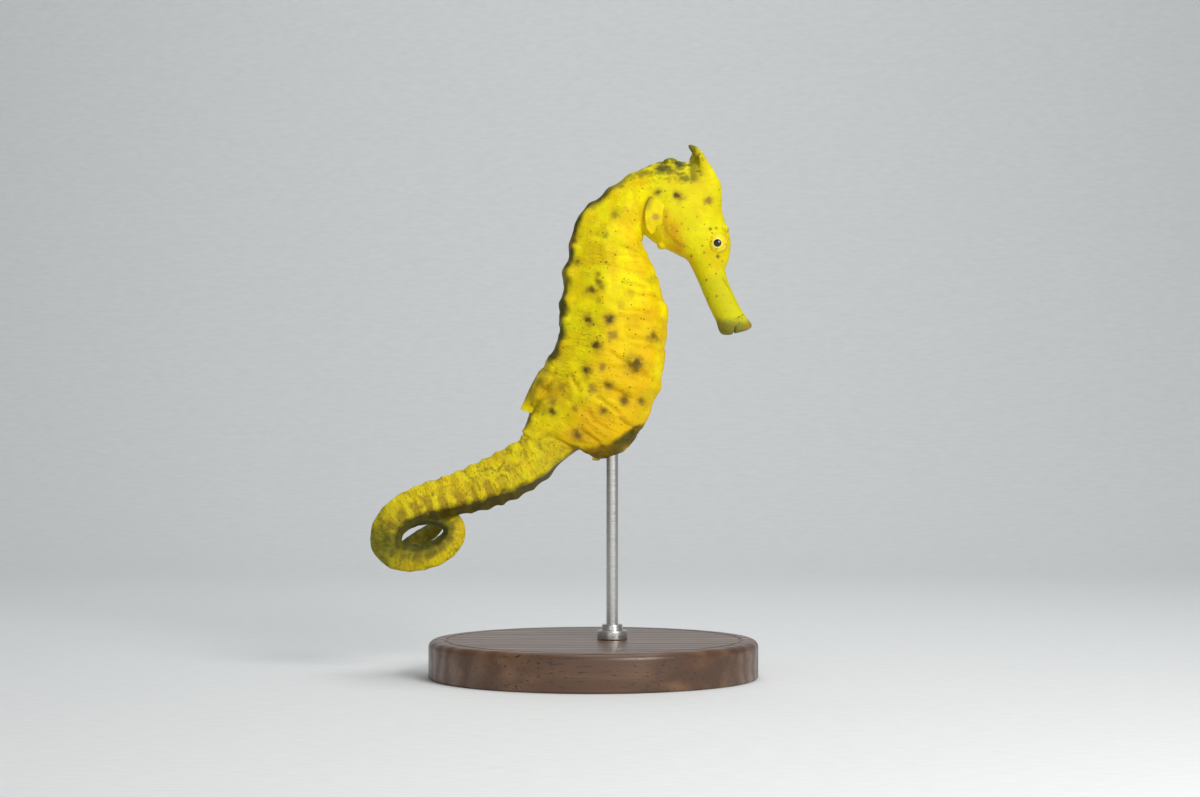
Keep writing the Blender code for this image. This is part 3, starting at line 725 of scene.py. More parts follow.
def net_positions(points):
    rows = len(net_distances)
    flat = net_points.reshape(-1, 3)
    faces = []
    for i in range(rows - 1):
        for j in range(NET_SIDES):
            k = (j + 1) % NET_SIDES
            a, b = i * NET_SIDES, (i + 1) * NET_SIDES
            faces.append((a + j, a + k, b + k, b + j))
    tree = BVHTree.FromPolygons(flat.tolist(), faces)
    found = [tree.find_nearest(point) for point in points.tolist()]
    places = np.array([hit[0] for hit in found])
    i, j = np.divmod(np.array([hit[2] for hit in found]), NET_SIDES)
    k = (j + 1) % NET_SIDES
    near_left, near_right = net_points[i, j], net_points[i, k]
    far_left, far_right = net_points[i + 1, j], net_points[i + 1, k]
    start, end = (near_left + near_right) / 2, (far_left + far_right) / 2
    one, other = (near_left + far_left) / 2, (near_right + far_right) / 2
    shares = []
    for origin, target in ((start, end), (one, other)):
        way = target - origin
        along = ((places - origin) * way).sum(1) / np.maximum((way**2).sum(1), TINY)
        shares.append(np.clip(along, 0, 1))
    distance = net_distances[i] + shares[0] * (net_distances[1] - net_distances[0])
    return distance, (j + shares[1]) * math.tau / NET_SIDES


points = read_points(wrapped)
normals = read_normals(wrapped)
distance, angle = net_positions(points)
side_share = np.abs(((np.degrees(angle) + 180) % 360) - 180)
on_left = points[:, 1] > 0
body_row = rows_at(distance)
half_depth = np.linalg.norm(body_row[:, BACK] - body_row[:, BELLY], axis=1) / 2
body_radius = (body_row[:, HALF_WIDTH] + half_depth) / 2
phase, ring_length = ring_phase(distance)
print(f"skin points on the left side: {on_left.mean():.0%}")


# %% How much each point belongs to the head, the trunk and the tail
def between(start, end):
    """0 before one distance along the body, 1 beyond the other, smooth between them."""
    return rising(distance, start, end - start)


tail_share = between(station_at["anal"], TAIL_START + 3)
trunk_share = between(station_at["nape"], station_at["shoulder"]) * (1 - tail_share)
head_share = 1 - between(station_at["occiput"], station_at["neck"])
for name, share in (("head", head_share), ("trunk", trunk_share), ("tail", tail_share)):
    print(f"{name}: {(share > 0.5).mean():.0%} of the skin points")


# %% [markdown]
# ## Relief
#
# A seahorse's skin is stretched over bone plates, so it has folds at each ring, knobs where
# ridges cross the rings, a smooth gill cover, and fine wrinkles between. All of it is added as
# a height along the surface normal, in millimetres. A sculptor would brush it on, but a formula
# gives the same result each time. In these formulas the factors are heights in millimetres,
# angles are degrees from the back (0) to the belly (180), and rising() and falling() take where a
# form starts or ends and how wide its fade is. The unevenness comes from soft noise: random
# values on a lattice, blended smoothly between its points.


# %% Soft noise
TUMBLE = np.array(Matrix.Rotation(0.9, 3, (0.6, 0.5, 0.7)))
LATTICE_SIZE = 32


def soft_noise(places, cell, seed, octaves=3):
    """Smooth random values, mostly from -1 to 1, that change over about one cell."""
    lattice = np.random.default_rng(seed).random((LATTICE_SIZE,) * 3) * 2 - 1
    total = np.zeros(len(places))
    scaled = places / cell
    for octave in range(octaves):
        scaled = scaled @ TUMBLE
        low = np.floor(scaled).astype(int)
        share = smooth_step(scaled - low)
        for corner in np.ndindex(2, 2, 2):
            weight = np.prod(np.where(corner, share, 1 - share), axis=1)
            i, j, k = ((low + corner) % LATTICE_SIZE).T
            total += weight * lattice[i, j, k] * 0.5**octave
        scaled = scaled * 2.1 + 7.3
    return total


rough_noise = soft_noise(points, 2.6, 1)
print(f"noise from {rough_noise.min():.2f} to {rough_noise.max():.2f}")


# %% Helpers for places on the skin
along_x, up_z = points[:, 0], points[:, 2]  # views: they follow the points when the relief moves them
girth = np.stack([distance, np.cos(angle) * body_radius, np.sin(angle) * body_radius], axis=1)


def bump_shape(away, radius):
    """1 at the middle, 0 from about two radii on."""
    return np.exp(-((away / radius) ** 2))


def away_from(x, z):
    """Each point's distance from the place (x, z) in the side view."""
    return np.hypot(along_x - x, up_z - z)


def ridge_at(degrees_round, width):
    """1 on a ridge that runs along the body at that angle from the back, 0 away from it."""
    return bump_shape(side_share - degrees_round, width)


print(f"the skin spans {np.ptp(along_x):.1f} mm by {np.ptp(up_z):.1f} mm in the side view")

# %% [markdown]
# The rings show as shallow swellings with a fold between each two. On the trunk they are strong
# only towards the belly, where the skin is looser. Their edges wander a little, since no two
# plates are alike. In the coil the rings are weaker, as skin there is pressed together.

# %% Rings and folds
RING_WANDER, CREST_HALF_WIDTH, FOLD_HALF_WIDTH = 0.16, 0.22, 0.6

shifted = np.clip(phase + RING_WANDER * soft_noise(girth, 4.0, 3), 0, 1)
from_edge = np.minimum(shifted, 1 - shifted)
ring_crest = bump_shape(shifted - 0.5, CREST_HALF_WIDTH)
fold = bump_shape(from_edge * ring_length, FOLD_HALF_WIDTH)
fold_strength = 0.6 + 0.55 * soft_noise(girth, 7.0, 4)
belly_side = rising(side_share, 75, 50)
swelling = np.sin(math.pi * shifted) - 1.3 * fold
height = trunk_share * (0.06 + 0.15 * belly_side) * fold_strength * swelling
loose_folds = soft_noise(girth * (0.5, 0.16, 0.16), 1.0, 24, octaves=2)
height += 0.22 * trunk_share * loose_folds * (0.35 + 0.65 * belly_side)
print(f"ring relief from {height.min():.2f} to {height.max():.2f} mm")

# %% Ridges and tubercles
WIDEST_TAIL_RADIUS, COIL_START = 5.2, 30

tail_size = np.clip(body_radius / WIDEST_TAIL_RADIUS, 0.12, 1.0)
tail_ridges = np.maximum(ridge_at(40, 13), ridge_at(140, 13))
in_coil = rising(distance - TAIL_START, COIL_START, 6)
tail_relief = 0.10 * ring_crest - 0.04 + 0.20 * tail_ridges * ring_crest - 0.08 * fold
height += tail_share * tail_size * (1 - 0.45 * in_coil) * tail_relief

trunk_ridges = np.maximum.reduce([ridge_at(45, 9), ridge_at(90, 7), 0.9 * ridge_at(138, 8)])
tubercles = ring_crest * (0.26 * trunk_ridges + 0.26 * ridge_at(45, 8))
height += trunk_share * (tubercles + 0.14 * trunk_ridges)
height += (trunk_share + tail_share) * 0.18 * ridge_at(0, 12) * ring_crest * tail_size
at_back_fin = rising(distance, station_at["keel"] - 2.5, 2.5)
at_back_fin *= falling(distance, station_at["anal"] + 1.5, 2.5)
height += 0.2 * ridge_at(0, 40) * at_back_fin
height += 0.10 * rough_noise * (0.35 + 0.65 * trunk_share) * tail_size
print(f"with ridges and tubercles from {height.min():.2f} to {height.max():.2f} mm")

# %% [markdown]
# Long folds cross the belly and the flank where the body bends. Each is a line in the side view,
# from one point to another, with a groove along it and a low swelling on both sides. A noise
# makes the line waver, because skin doesn't crease along a ruler.


# %% Long folds
FOLDS = (
    (-8.9, 17.9, -6.8, 14.0, 0.20), (-1.7, 15.7, 3.8, 12.8, 0.32), (-6.8, 6.4, -2.6, 3.0, 0.30),
    (1.2, 8.4, 5.8, 6.0, 0.26), (-0.9, 22.5, 3.4, 19.6, 0.24), (3.4, 19.1, 8.9, 16.6, 0.28),
    (-5.5, 9.8, -0.9, 6.4, 0.24), (-3.4, 13.2, 1.7, 9.4, 0.26), (2.8, 25.8, 8.6, 24.6, 0.20),
    (1.5, 31.6, 8.0, 30.6, 0.18), (2.0, 37.0, 7.6, 36.2, 0.16), (-1.5, 43.0, 5.6, 42.7, 0.16),
)  # fmt: skip
waver = soft_noise(points, 2.2, 31, octaves=2)


def near_line(x1, z1, x2, z2, fade=0.8, wavy=0.35):
    """How far each point is across a line in the side view, and 1 beside it, 0 beyond its ends."""
    length = math.hypot(x2 - x1, z2 - z1)
    ahead_x, ahead_z = (x2 - x1) / length, (z2 - z1) / length
    along = (along_x - x1) * ahead_x + (up_z - z1) * ahead_z
    across = (up_z - z1) * ahead_x - (along_x - x1) * ahead_z + wavy * waver
    beside = smooth_step((along + fade) / (2 * fade)) * smooth_step((length + fade - along) / (2 * fade))
    return across, beside


furrow = np.zeros(len(points))
for *line, depth in FOLDS:
    across, beside = near_line(*line)
    groove = bump_shape(across, 0.42) - 0.55 * bump_shape(np.abs(across) - 1.0, 0.6)
    furrow += depth * groove * beside
furrow *= trunk_share * rising(side_share, 55, 15)
height -= furrow
print(f"{len(FOLDS)} long folds, the deepest {furrow.max():.2f} mm")

# %% [markdown]
# Fine wrinkles lie mostly along the back and tail, in patches, and fade out towards the neck.
# The outline of the nape, back and belly isn't a smooth curve either: low knobs of bone lift the
# skin there. They are soft mounds, because a ball would look like a bead.

# %% Wrinkles, and knobs on the outline
crease_patches = rising(soft_noise(girth, 5.0, 6), -0.5, 0.9)
back_side = 1 - rising(side_share, 80, 50)
wrinkled = trunk_share * crease_patches * (0.3 + 0.7 * back_side) * (1 - 0.6 * rising(up_z, 40, 6))
wrinkled = np.maximum(wrinkled, tail_share * (0.65 + 0.35 * crease_patches))
wrinkled = np.maximum(wrinkled, trunk_share * 0.8 * falling(up_z, 10, 5))
small_folds = soft_noise(girth * (1.15, 0.26, 0.26), 1.0, 25, octaves=2)
height += 0.085 * small_folds * wrinkled * np.clip(tail_size + trunk_share, 0, 1)

# Each knob: x, z, radius, lift
KNOBS = (
    (-10.4, 39.7, 1.9, 0.75), (-9.2, 45.2, 1.7, 0.45), (-4.8, 53.9, 1.5, 0.55),
    (-1.3, 57.4, 1.4, 0.5), (3.5, 60.2, 1.4, 0.5), (-11.0, 32.3, 1.9, 0.6),
    (-13.4, 21.2, 1.8, 0.8), (11.8, 30.8, 2.4, 0.6), (10.3, 14.8, 1.8, 0.5),
)  # fmt: skip
for x, z, radius, lift in KNOBS:
    height += lift * bump_shape(away_from(x, z), radius)
print(f"wrinkles on {np.mean(wrinkled > 0.3):.0%} of the skin, {len(KNOBS)} knobs")

# %% [markdown]
# The head has few rings but many small forms: the edge of the gill cover with its groove, a rim
# round each eye, a soft cleft between the lips and the hollow at the side of the crest. Each is
# placed by its distance from a point or an arc in the side view, and acts on both sides.


# %% Gill cover and eye rims
GILL_CENTRE, GILL_RADIUS, GILL_FROM, GILL_TO = (17.6, 51.6), 7.0, 150, 252
EYE_RIM_RADIUS, SOCKET_RADIUS, SOCKET_DEPTH = 2.0, 1.5, 0.8
eye_low, eye_high = ((corner / MM) - body_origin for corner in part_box("eye_right"))
EYE_CENTRE, EYE_RADIUS = (eye_low + eye_high) / 2, (eye_high.x - eye_low.x) / 2


def arc_window(x, z, start, end, fade=18.0):
    """1 where the direction from (x, z) lies between start and end degrees, fading outside."""
    turn = np.degrees(np.arctan2(up_z - z, along_x - x)) % 360
    beyond = np.maximum(start - turn, turn - end)
    return 1 - smooth_step(beyond / fade)


sideways = rising(np.abs(normals[:, 1]), 0.15, 0.35)
at_eye = head_share * sideways
from_gill = away_from(*GILL_CENTRE) - GILL_RADIUS
gill_arc = arc_window(*GILL_CENTRE, GILL_FROM, GILL_TO) * head_share * sideways
gill_lip = falling(from_gill, 0.35, 0.7) * rising(from_gill, -5.5, 4.5)
gill_groove = bump_shape(from_gill - 0.75, 0.65)
height += gill_arc * (0.16 * gill_lip - 0.09 * gill_groove)

from_eye = away_from(EYE_CENTRE.x, EYE_CENTRE.z)
eye_rim = bump_shape(from_eye - EYE_RIM_RADIUS, 0.5)
height += at_eye * (0.12 * eye_rim - SOCKET_DEPTH * falling(from_eye, SOCKET_RADIUS, 0.4))
print(f"gill edge {GILL_RADIUS} mm from its centre, eye rim {EYE_RIM_RADIUS} mm")


# %% Mouth, snout and crest
def crease(x1, z1, x2, z2, width, wavy=0.15):
    """1 on a short crease between two places in the side view, 0 away from it."""
    across, beside = near_line(x1, z1, x2, z2, 0.5, wavy)
    return bump_shape(across, width) * beside * sideways


lip_line = along_x - (25.9 + 0.12 * (up_z - 27.0))
in_mouth = falling(up_z, 28.4, 0.9) * (distance < 5)
mouth_slit = bump_shape(lip_line, 0.2) * in_mouth
height -= 0.42 * mouth_slit
lip_fold = crease(26.0, 29.6, 28.1, 30.4, 0.25) * (distance < 12)
height += (distance < 9) * 0.22 * bump_shape(distance - 1.6, 1.3) - 0.16 * lip_fold
lips = falling(up_z - 0.5 * rough_noise, 30.4, 2.2) * (distance < 9)
upper_crease = crease(23.4, 38.4, 25.0, 35.6, 0.22)
snout_crease = np.maximum(upper_crease, 0.45 * crease(25.0, 35.6, 27.4, 31.2, 0.25))
height -= 0.12 * snout_crease * (distance < station_at["snout_root"])

crest_hollow = bump_shape(np.hypot(along_x - 17.2, (up_z - 61.0) / 2.2), 1.2) * sideways
cheek_hollow = bump_shape(away_from(20.0, 55.5), 2.2) * at_eye
height -= 0.35 * crest_hollow
height -= 0.3 * cheek_hollow
points += normals * height[:, None]
print(f"relief in all: {height.min():.2f} to {height.max():.2f} mm")

# %% [markdown]
# ## Markings
#
# A living seahorse of this colour is clear yellow on the neck and head, warmer on the belly,
# greener on the snout and duller along the tail, with an olive back. Where the back turns from
# the light it is painted greener and darker still, as shade. Over that lie soft brown
# blotches and a fine dust of dark dots. Painting an image would need a flat map of the skin, and
# its seams would show. Instead each kind of marking is stored on the points as an amount from 0
# to 1, and the material mixes its colours by those amounts. The factors in the formulas are such
# amounts too. The larger blotches are placed one by one on the right side; the left side carries
# its own, moved and resized, since no animal is a mirror image of itself.

# %% Lists of blotches and light spots: x, z, radius, strength
BLOTCHES = (
    (9.6, 56.3, 1.0, 0.9), (13.9, 55.3, 1.2, 1.0), (0.6, 51.6, 1.0, 0.7), (-1.3, 47.2, 0.9, 0.5),
    (-1.3, 41.4, 0.4, 0.8), (-2.9, 38.9, 0.8, 0.6), (-2.4, 36.2, 0.9, 0.6), (-2.8, 37.2, 1.0, 0.7),
    (-4.4, 35.5, 1.2, 0.8), (-3.0, 33.4, 0.9, 0.3), (3.8, 34.6, 1.0, 0.3), (8.3, 38.0, 1.2, 0.35),
    (-0.6, 29.3, 1.4, 0.95), (-5.1, 29.3, 1.2, 0.95), (0.0, 25.9, 1.2, 0.35), (8.7, 25.5, 1.3, 0.75),
    (-3.4, 23.8, 1.3, 0.95), (4.9, 20.0, 2.0, 0.85), (-5.5, 18.7, 1.3, 0.95), (-2.1, 19.3, 1.0, 0.45),
    (-4.2, 14.7, 1.2, 0.4), (-0.8, 15.5, 1.3, 0.7), (-10.6, 15.1, 1.1, 0.4), (-12.3, 12.1, 1.2, 0.5),
    (-12.7, 10.0, 1.2, 0.85), (-7.9, 10.6, 0.8, 0.6), (-1.7, 10.2, 1.1, 0.7), (2.5, 12.3, 1.2, 0.75),
    (6.2, 12.1, 1.1, 0.7), (-7.4, 5.1, 1.4, 0.7), (-8.1, 46.1, 0.9, 0.7), (-7.4, 41.6, 0.9, 0.7),
    (20.4, 54.6, 0.9, 0.55), (20.7, 48.5, 0.55, 0.8), (21.9, 48.7, 0.45, 0.7), (23.4, 46.6, 0.45, 0.5),
    (19.0, 44.9, 0.35, 0.8), (19.4, 43.5, 0.35, 0.8), (22.3, 42.7, 0.55, 0.8), (20.6, 41.0, 0.3, 0.7),
    (16.7, 42.8, 0.35, 0.8), (19.9, 37.8, 0.35, 0.8), (22.1, 34.4, 0.35, 0.8), (24.8, 48.4, 0.5, 0.8),
    (23.2, 46.7, 0.4, 0.5), (16.0, 48.4, 0.3, 0.6), (14.6, 49.5, 0.3, 0.6), (11.3, 51.0, 0.3, 0.8),
    (17.8, 51.0, 0.25, 0.6),
)  # fmt: skip
LIGHT_SPOTS = (
    (28.9, 27.6, 1.3, 0.8), (22.9, 28.2, 0.9, 0.6), (9.1, 51.0, 0.95, 0.7), (2.7, 52.8, 0.8, 0.4),
    (20.2, 54.7, 1.15, 0.9), (0.0, 25.9, 1.5, 0.6), (-2.1, 19.3, 1.1, 0.65), (-4.2, 14.7, 1.5, 0.65),
    (-12.3, 12.2, 1.2, 0.6), (-10.2, 15.4, 0.9, 0.4), (1.9, 32.2, 1.2, 0.4), (-8.1, 5.4, 1.3, 0.5),
    (24.9, 48.4, 0.8, 0.6), (1.7, 8.5, 1.0, 0.35), (-5.3, 12.7, 0.8, 0.5),
)  # fmt: skip
rng = np.random.default_rng(11)
left_blotches = [
    (x + rng.normal(0, 1.3), z + rng.normal(0, 1.3), r * rng.uniform(0.8, 1.25), s * rng.uniform(0.8, 1.1))
    for x, z, r, s in BLOTCHES
]
print(len(BLOTCHES), "blotches and", len(LIGHT_SPOTS), "light spots for each side")

# %% [markdown]
# A spot placed by x and z alone would run right through the body and smear over the back, where
# the skin turns away. So each spot fades where the normal no longer points sideways. The larger
# blotches also get a halo, a paler brown ring that softens their edge.

# %% Blotches on the skin
HALO_FROM_RADIUS = 0.75

ragged = 0.30 * soft_noise(points, 1.0, 8)
turned_sideways = np.abs(normals[:, 1])
facing_side = rising(turned_sideways, 0.08, 0.3)
facing_side = np.maximum(facing_side, head_share * rising(turned_sideways, 0.04, 0.12))
blotch, halo, pale_brown = (np.zeros(len(points)) for _ in range(3))
for spots, side, target in (
    (BLOTCHES, ~on_left, blotch),
    (left_blotches, on_left, blotch),
    (LIGHT_SPOTS, ~on_left, pale_brown),
    (LIGHT_SPOTS, on_left, pale_brown),
):
    here = side & (tail_share < 0.6)
    for x, z, radius, strength in spots:
        away = away_from(x, z) / (1.15 * radius) + ragged * min(1.0, radius)
        amount = strength * (1 - rising(away, 0.1, 0.95)) * facing_side
        np.maximum(target, np.where(here, amount, 0), out=target)
        if target is blotch and radius > HALO_FROM_RADIUS:
            amount = strength * (1 - rising(away, 0.4, 1.5)) * facing_side
            np.maximum(halo, np.where(here, amount, 0), out=halo)
print(f"blotches cover {np.mean(blotch > 0.3):.1%} of the skin")

# %% [markdown]
# The back is dark olive in a band with a frayed edge, interrupted at each ring and lighter on the
# flesh under the back fin. The band is partly the skin's own olive and partly painted shade, where
# the back turns away from the light. On the nape and the crown it breaks up into mottle and a few
# patches. The crest is yellow in front, with painted shade in the hollow behind its front blade,
# and dark olive at its tip.

# %% Olive back and nape, the back partly painted shade
OLIVE_EDGE, OLIVE_FADE = 54.0, 17

edge_noise = soft_noise(points, 2.4, 42) + 0.8 * (0.5 - ring_crest)
# painted shade: the olive band on the back is partly the skin's olive, partly shade where the back turns
# from the light
olive_and_shade = trunk_share * falling(side_share - 4 * edge_noise, OLIVE_EDGE, OLIVE_FADE)
olive_and_shade *= 1 - 0.9 * at_back_fin
olive_and_shade *= 0.75 + 0.25 * rising(edge_noise, -0.6, 1)
fray = soft_noise(points, 0.6, 41)
nape_mottle = rising(soft_noise(points, 1.0, 12) + 0.3 * fray, -0.3, 0.8)
nape_zone = rising(up_z, 57.0, 4.2) * falling(along_x, 20.5, 2.5) * rising(along_x, -2.0, 4.0)
olive_and_shade = np.maximum(olive_and_shade, nape_zone * (0.1 + 0.75 * nape_mottle))
# Each patch: x, z, half length, half height, strength
NAPE_PATCHES = (
    (10.8, 61.2, 2.2, 1.2, 1.0), (14.5, 62.4, 1.4, 1.2, 1.0), (15.1, 59.2, 1.5, 0.9, 0.8),
    (6.3, 60.4, 2.0, 1.0, 0.7), (1.2, 57.8, 2.0, 0.9, 0.6),
)  # fmt: skip
for x, z, long, high, strength in NAPE_PATCHES:
    away = np.hypot((along_x - x) / long, (up_z - z) / high) + 0.35 * rough_noise + 0.4 * fray
    olive_and_shade = np.maximum(olive_and_shade, strength * (1 - rising(away, 0.2, 1.3)))
print(f"olive on {np.mean(olive_and_shade > 0.3):.0%} of the skin")

# %% Painted shade on the crest; olive on its tip and on the flesh under the back fin
# painted shade: the hollow behind the crest's front blade is darkened as shade
crest_shade = falling(along_x, 19.3, 2.2) * rising(along_x, 15.9, 0.9)
olive_and_shade = np.maximum(olive_and_shade, 0.75 * crest_shade * rising(up_z + 0.4 * rough_noise, 57.2, 1.8))
horn_tip = falling(along_x, 18.6, 1.2) * rising(up_z, 64.2, 1.0)
olive_and_shade = np.maximum(olive_and_shade, 0.9 * horn_tip)
hump = at_back_fin * falling(side_share - 6 * rough_noise, 66, 20)
olive_and_shade = np.maximum(olive_and_shade, hump * (0.12 + 0.3 * rising(soft_noise(points, 1.5, 44), -0.2, 0.8)))
print(f"olive with the crest and the fin's flesh: {np.mean(olive_and_shade > 0.3):.0%} of the skin")

# %% [markdown]
# Low on the belly, in front of the vent, the underside faces down, away from the light, and is
# painted dark olive as shade. Below a line that rises towards the front, as the keel does, the
# skin is a deeper brown, partly its own colour and partly painted shade.

# %% Painted shade on the underside, dark olive and brown
# painted shade: the underside below the keel ridge, facing away from the light
below_ridge = 2.9 + 0.57 * (along_x + 2.8) - up_z + 0.5 * rough_noise
underside_shade = rising(below_ridge, 0, 1.3) * rising(side_share, 118, 12) * rising(along_x, -1.6, 3.6)
underside_shade *= 0.5 + 0.5 * rising(up_z, 1.0, 5.0)
underside_shade *= 1 - 0.6 * rising(side_share + 10 * rough_noise, 160, 20)
olive_and_shade = np.maximum(olive_and_shade, underside_shade * trunk_share)

# brown below this line: partly the skin's olive, partly painted shade of the underside
BROWN_LINE_X, BROWN_LINE_Z = (-9.0, -4.7, -1.5, 1.7, 6.6), (3.4, 3.1, 3.5, 4.8, 7.8)
brown_line = np.interp(along_x, BROWN_LINE_X, BROWN_LINE_Z)
underside_brown_and_shade = trunk_share * falling(up_z - 0.4 * rough_noise, brown_line, 1.4)
underside_brown_and_shade *= rising(side_share, 70, 20) * (1 - 0.6 * bump_shape(away_from(3.2, 2.0), 1.1))
print(f"brown underside on {np.mean(underside_brown_and_shade > 0.3):.1%} of the skin")

# %% Warm belly and gill, green snout
belly_warmth = rising(side_share, 78, 24) * (1 - 0.7 * rising(side_share, 140, 14))
belly_warmth *= trunk_share * falling(up_z, 41, 14)
warm = 0.55 * belly_warmth + 0.35 * falling(up_z, 32, 20) * trunk_share
warm *= 0.8 + 0.5 * soft_noise(girth, 5.0, 22)
gill_stain = 0.9 * crease(11.3, 52.4, 11.5, 46.6, 0.5)
gill_stain = np.maximum(gill_stain, crease(12.3, 49.8, 14.3, 43.6, 1.2, 0.6)) * head_share
# painted shade: brown on the skin along the breast fin's rear edge
fin_edge_shade = np.maximum(crease(7.9, 55.6, 6.9, 53.4, 0.45), 0.7 * crease(6.9, 53.4, 6.8, 50.2, 0.4))
warm = np.maximum(warm, gill_stain)
throat = falling(away_from(14.0, 44.0), 8.0, 6.0) * head_share
warm = np.maximum(warm, 0.5 * throat * rising(side_share, 110, 40))
snout = falling(distance, station_at["snout_root"] + 3, 6)
# painted shade: on the trunk the back side is tinted greener, as shade where it turns from the light
green_and_back_shade = np.maximum.reduce([0.9 * snout, 0.5 * head_share, 0.35 * trunk_share * back_side])
print(f"warm on {np.mean(warm > 0.3):.0%} of the skin, green on {np.mean(green_and_back_shade > 0.3):.0%}")

# %% [markdown]
# The tail is banded: each ring has a brown patch on its underside. Seen from the right its lower
# edge is painted nearly black as shade, and inside the coil a dark green painted shade lies on
# the skin, darkest at the tip. The amounts along the coil start at a distance from the tail's
# root, so they follow the tail round its turn.

# %% Tail bands, and painted shade under the tail and inside the coil
INNER_COIL_START, TIP_LENGTH = 46, 16

patch_noise = 0.35 * soft_noise(girth, 1.6, 14)
tail_belly = rising(side_share + 24 * patch_noise, 84, 30) * tail_share
tail_patch = tail_belly * falling(from_edge - patch_noise * 0.3, 0.36, 0.16)
tail_patch *= rising(distance - TAIL_START, 10, 8)
right_round = (360 - np.degrees(angle)) % 360
# painted shade: the tail's lower edge, turned from the light, is darkened nearly to black
tail_shade = rising(right_round + 40 * patch_noise, 144, 24) * falling(right_round, 275, 20)
tail_shade *= 0.95 * tail_share
# painted shade: the inner face of the coil, the coil's far end and the tail's tip are darkened green
coil_inside = rising(distance - TAIL_START, INNER_COIL_START, 8)
coil_inside *= rising(side_share + 40 * patch_noise, 84, 40)
coil_inside *= 1 - 0.45 * rising(along_x, -37, 3) * falling(up_z, -17.0, 1.5)
from_coil_end = np.hypot(along_x + 48.4, (up_z + 17.8) * 1.3)
coil_end_shade = bump_shape(from_coil_end + 1.6 * soft_noise(points, 1.8, 33), 7.0)
coil_end_shade = np.maximum(coil_end_shade, bump_shape(away_from(-48.6, -22.4) + 1.2 * rough_noise, 2.8))
coil_end_shade *= in_coil
tip_shade = rising(distance - BODY_END, -TIP_LENGTH, 5)
# painted shade: in the coil the tail's back is darkened as well
tail_back = falling(side_share - 45 * patch_noise, 30, 26) * tail_share
print(f"banded underside on {np.mean(tail_patch > 0.3):.1%} of the skin")

# %% Painted shade in folds, random tone, and dusty skin
dusty = np.maximum(tail_share, trunk_share * falling(up_z, 24, 8))
dusty *= rising(soft_noise(points, 3.0, 43), -0.9, 0.8)
# painted shade: ring folds and long furrows are tinted darker brown as shade; a noise adds random tone, and
# the gill its streak
crease_shade_and_tone = 0.45 * trunk_share * (0.25 + 0.75 * belly_side) * fold * smooth_step(fold_strength)
crease_shade_and_tone += 0.5 * trunk_share * rising(soft_noise(girth, 6.0, 21), 0.05, 0.6)
crease_shade_and_tone += 2.6 * np.maximum(furrow, 0) + 0.9 * gill_stain
print(f"dusty on {np.mean(dusty > 0.3):.0%} of the skin")


# %% Store the amounts on the points
def store(mesh, name, values, kind="FLOAT"):
    """Keeps a value (or a vector) for each point, for a material to read by name."""
    layer = mesh.attributes.new(name, kind, "POINT")
    field = "value" if kind == "FLOAT" else "vector"
    layer.data.foreach_set(field, np.ascontiguousarray(values, np.float32).ravel())


amounts = {
    "blotch": blotch,
    # the halo amount also carries the painted shade along the breast fin's edge
    "halo": np.maximum(halo * (0.6 + 0.5 * soft_noise(points, 1.6, 10)), 0.6 * fin_edge_shade),
    "pale_brown": np.maximum(pale_brown, 0.45 * gill_stain * smooth_step(0.5 + fray)),
    "olive_and_shade": np.clip(olive_and_shade, 0, 1),
    "warm": np.clip(warm, 0, 1),
    "green_and_back_shade": np.clip(green_and_back_shade, 0, 1),
    "wrinkled": np.clip(wrinkled, 0, 1),
    # painted shade in the mouth slit, the lip fold and the snout creases
    "slit_and_crease_shade": np.clip(0.6 * mouth_slit + 0.35 * lip_fold + 0.3 * snout_crease, 0, 1),
    "lips": lips,
    "underside_brown_and_shade": underside_brown_and_shade,
    "crease_shade_and_tone": np.clip(crease_shade_and_tone, 0, 1),
    "tail": tail_share,
    "dusty": dusty,
    "tail_patch": tail_patch,
    "tail_shade": np.clip(tail_shade + 0.3 * tail_back * in_coil, 0, 0.95),
    "coil_shade": np.clip(0.8 * coil_inside + 1.1 * coil_end_shade + 0.9 * tip_shade, 0, 0.97),
}
for name, values in amounts.items():
    store(wrapped, name, values)
store(wrapped, "girth", girth, "FLOAT_VECTOR")
wrapped.vertices.foreach_set("co", points.ravel())
wrapped.update()
wrapped.transform(BODY_PLACE)
wrapped.shade_smooth()
print("stored:", ", ".join(amounts))

# %% [markdown]
# ## Skin material
#
# The base is a clear yellow that varies a little from place to place. Each stored amount then
# lays its own colour over the last, from the broad ones to the small ones. The skin is moist and
# slightly translucent, so it has a soft gloss and a little subsurface scattering.


# %% Skin: ground colours
def amount_of(tree, name):
    return add_node(tree, "ShaderNodeAttribute", attribute_name=name).outputs["Fac"]


skin_material, skin_tree, skin_shader = new_material(
    "Seahorse skin",
    Roughness=0.55,
    Subsurface_Weight=0.1,
    Subsurface_Scale=0.001,
    Subsurface_Radius=(1.0, 0.6, 0.1),
    Specular_IOR_Level=0.1,
)
skin_place = add_node(skin_tree, "ShaderNodeTexCoord").outputs["Object"]


def skin_noise(scale, detail, low, high, **sockets):
    """A noise through the skin, with its values from low to high spread to 0..1."""
    return scale_range(skin_tree, add_noise(skin_tree, skin_place, scale, detail, **sockets), low, high)


def lay_over(ground, amount, paint, strength=1.0):
    """The ground colour with paint laid over it by an amount and an overall strength."""
    if isinstance(amount, str):
        amount = amount_of(skin_tree, amount)
    if strength != 1.0:
        amount = arithmetic(skin_tree, "MULTIPLY", amount, strength)
    return blend_colours(skin_tree, amount, ground, paint)


broad_share = skin_noise(190.0, 3.0, 0.42, 0.62)
middle_share = skin_noise(520.0, 3.0, 0.40, 0.64, Distortion=0.5)
fine_share = skin_noise(1500.0, 4.0, 0.36, 0.68)

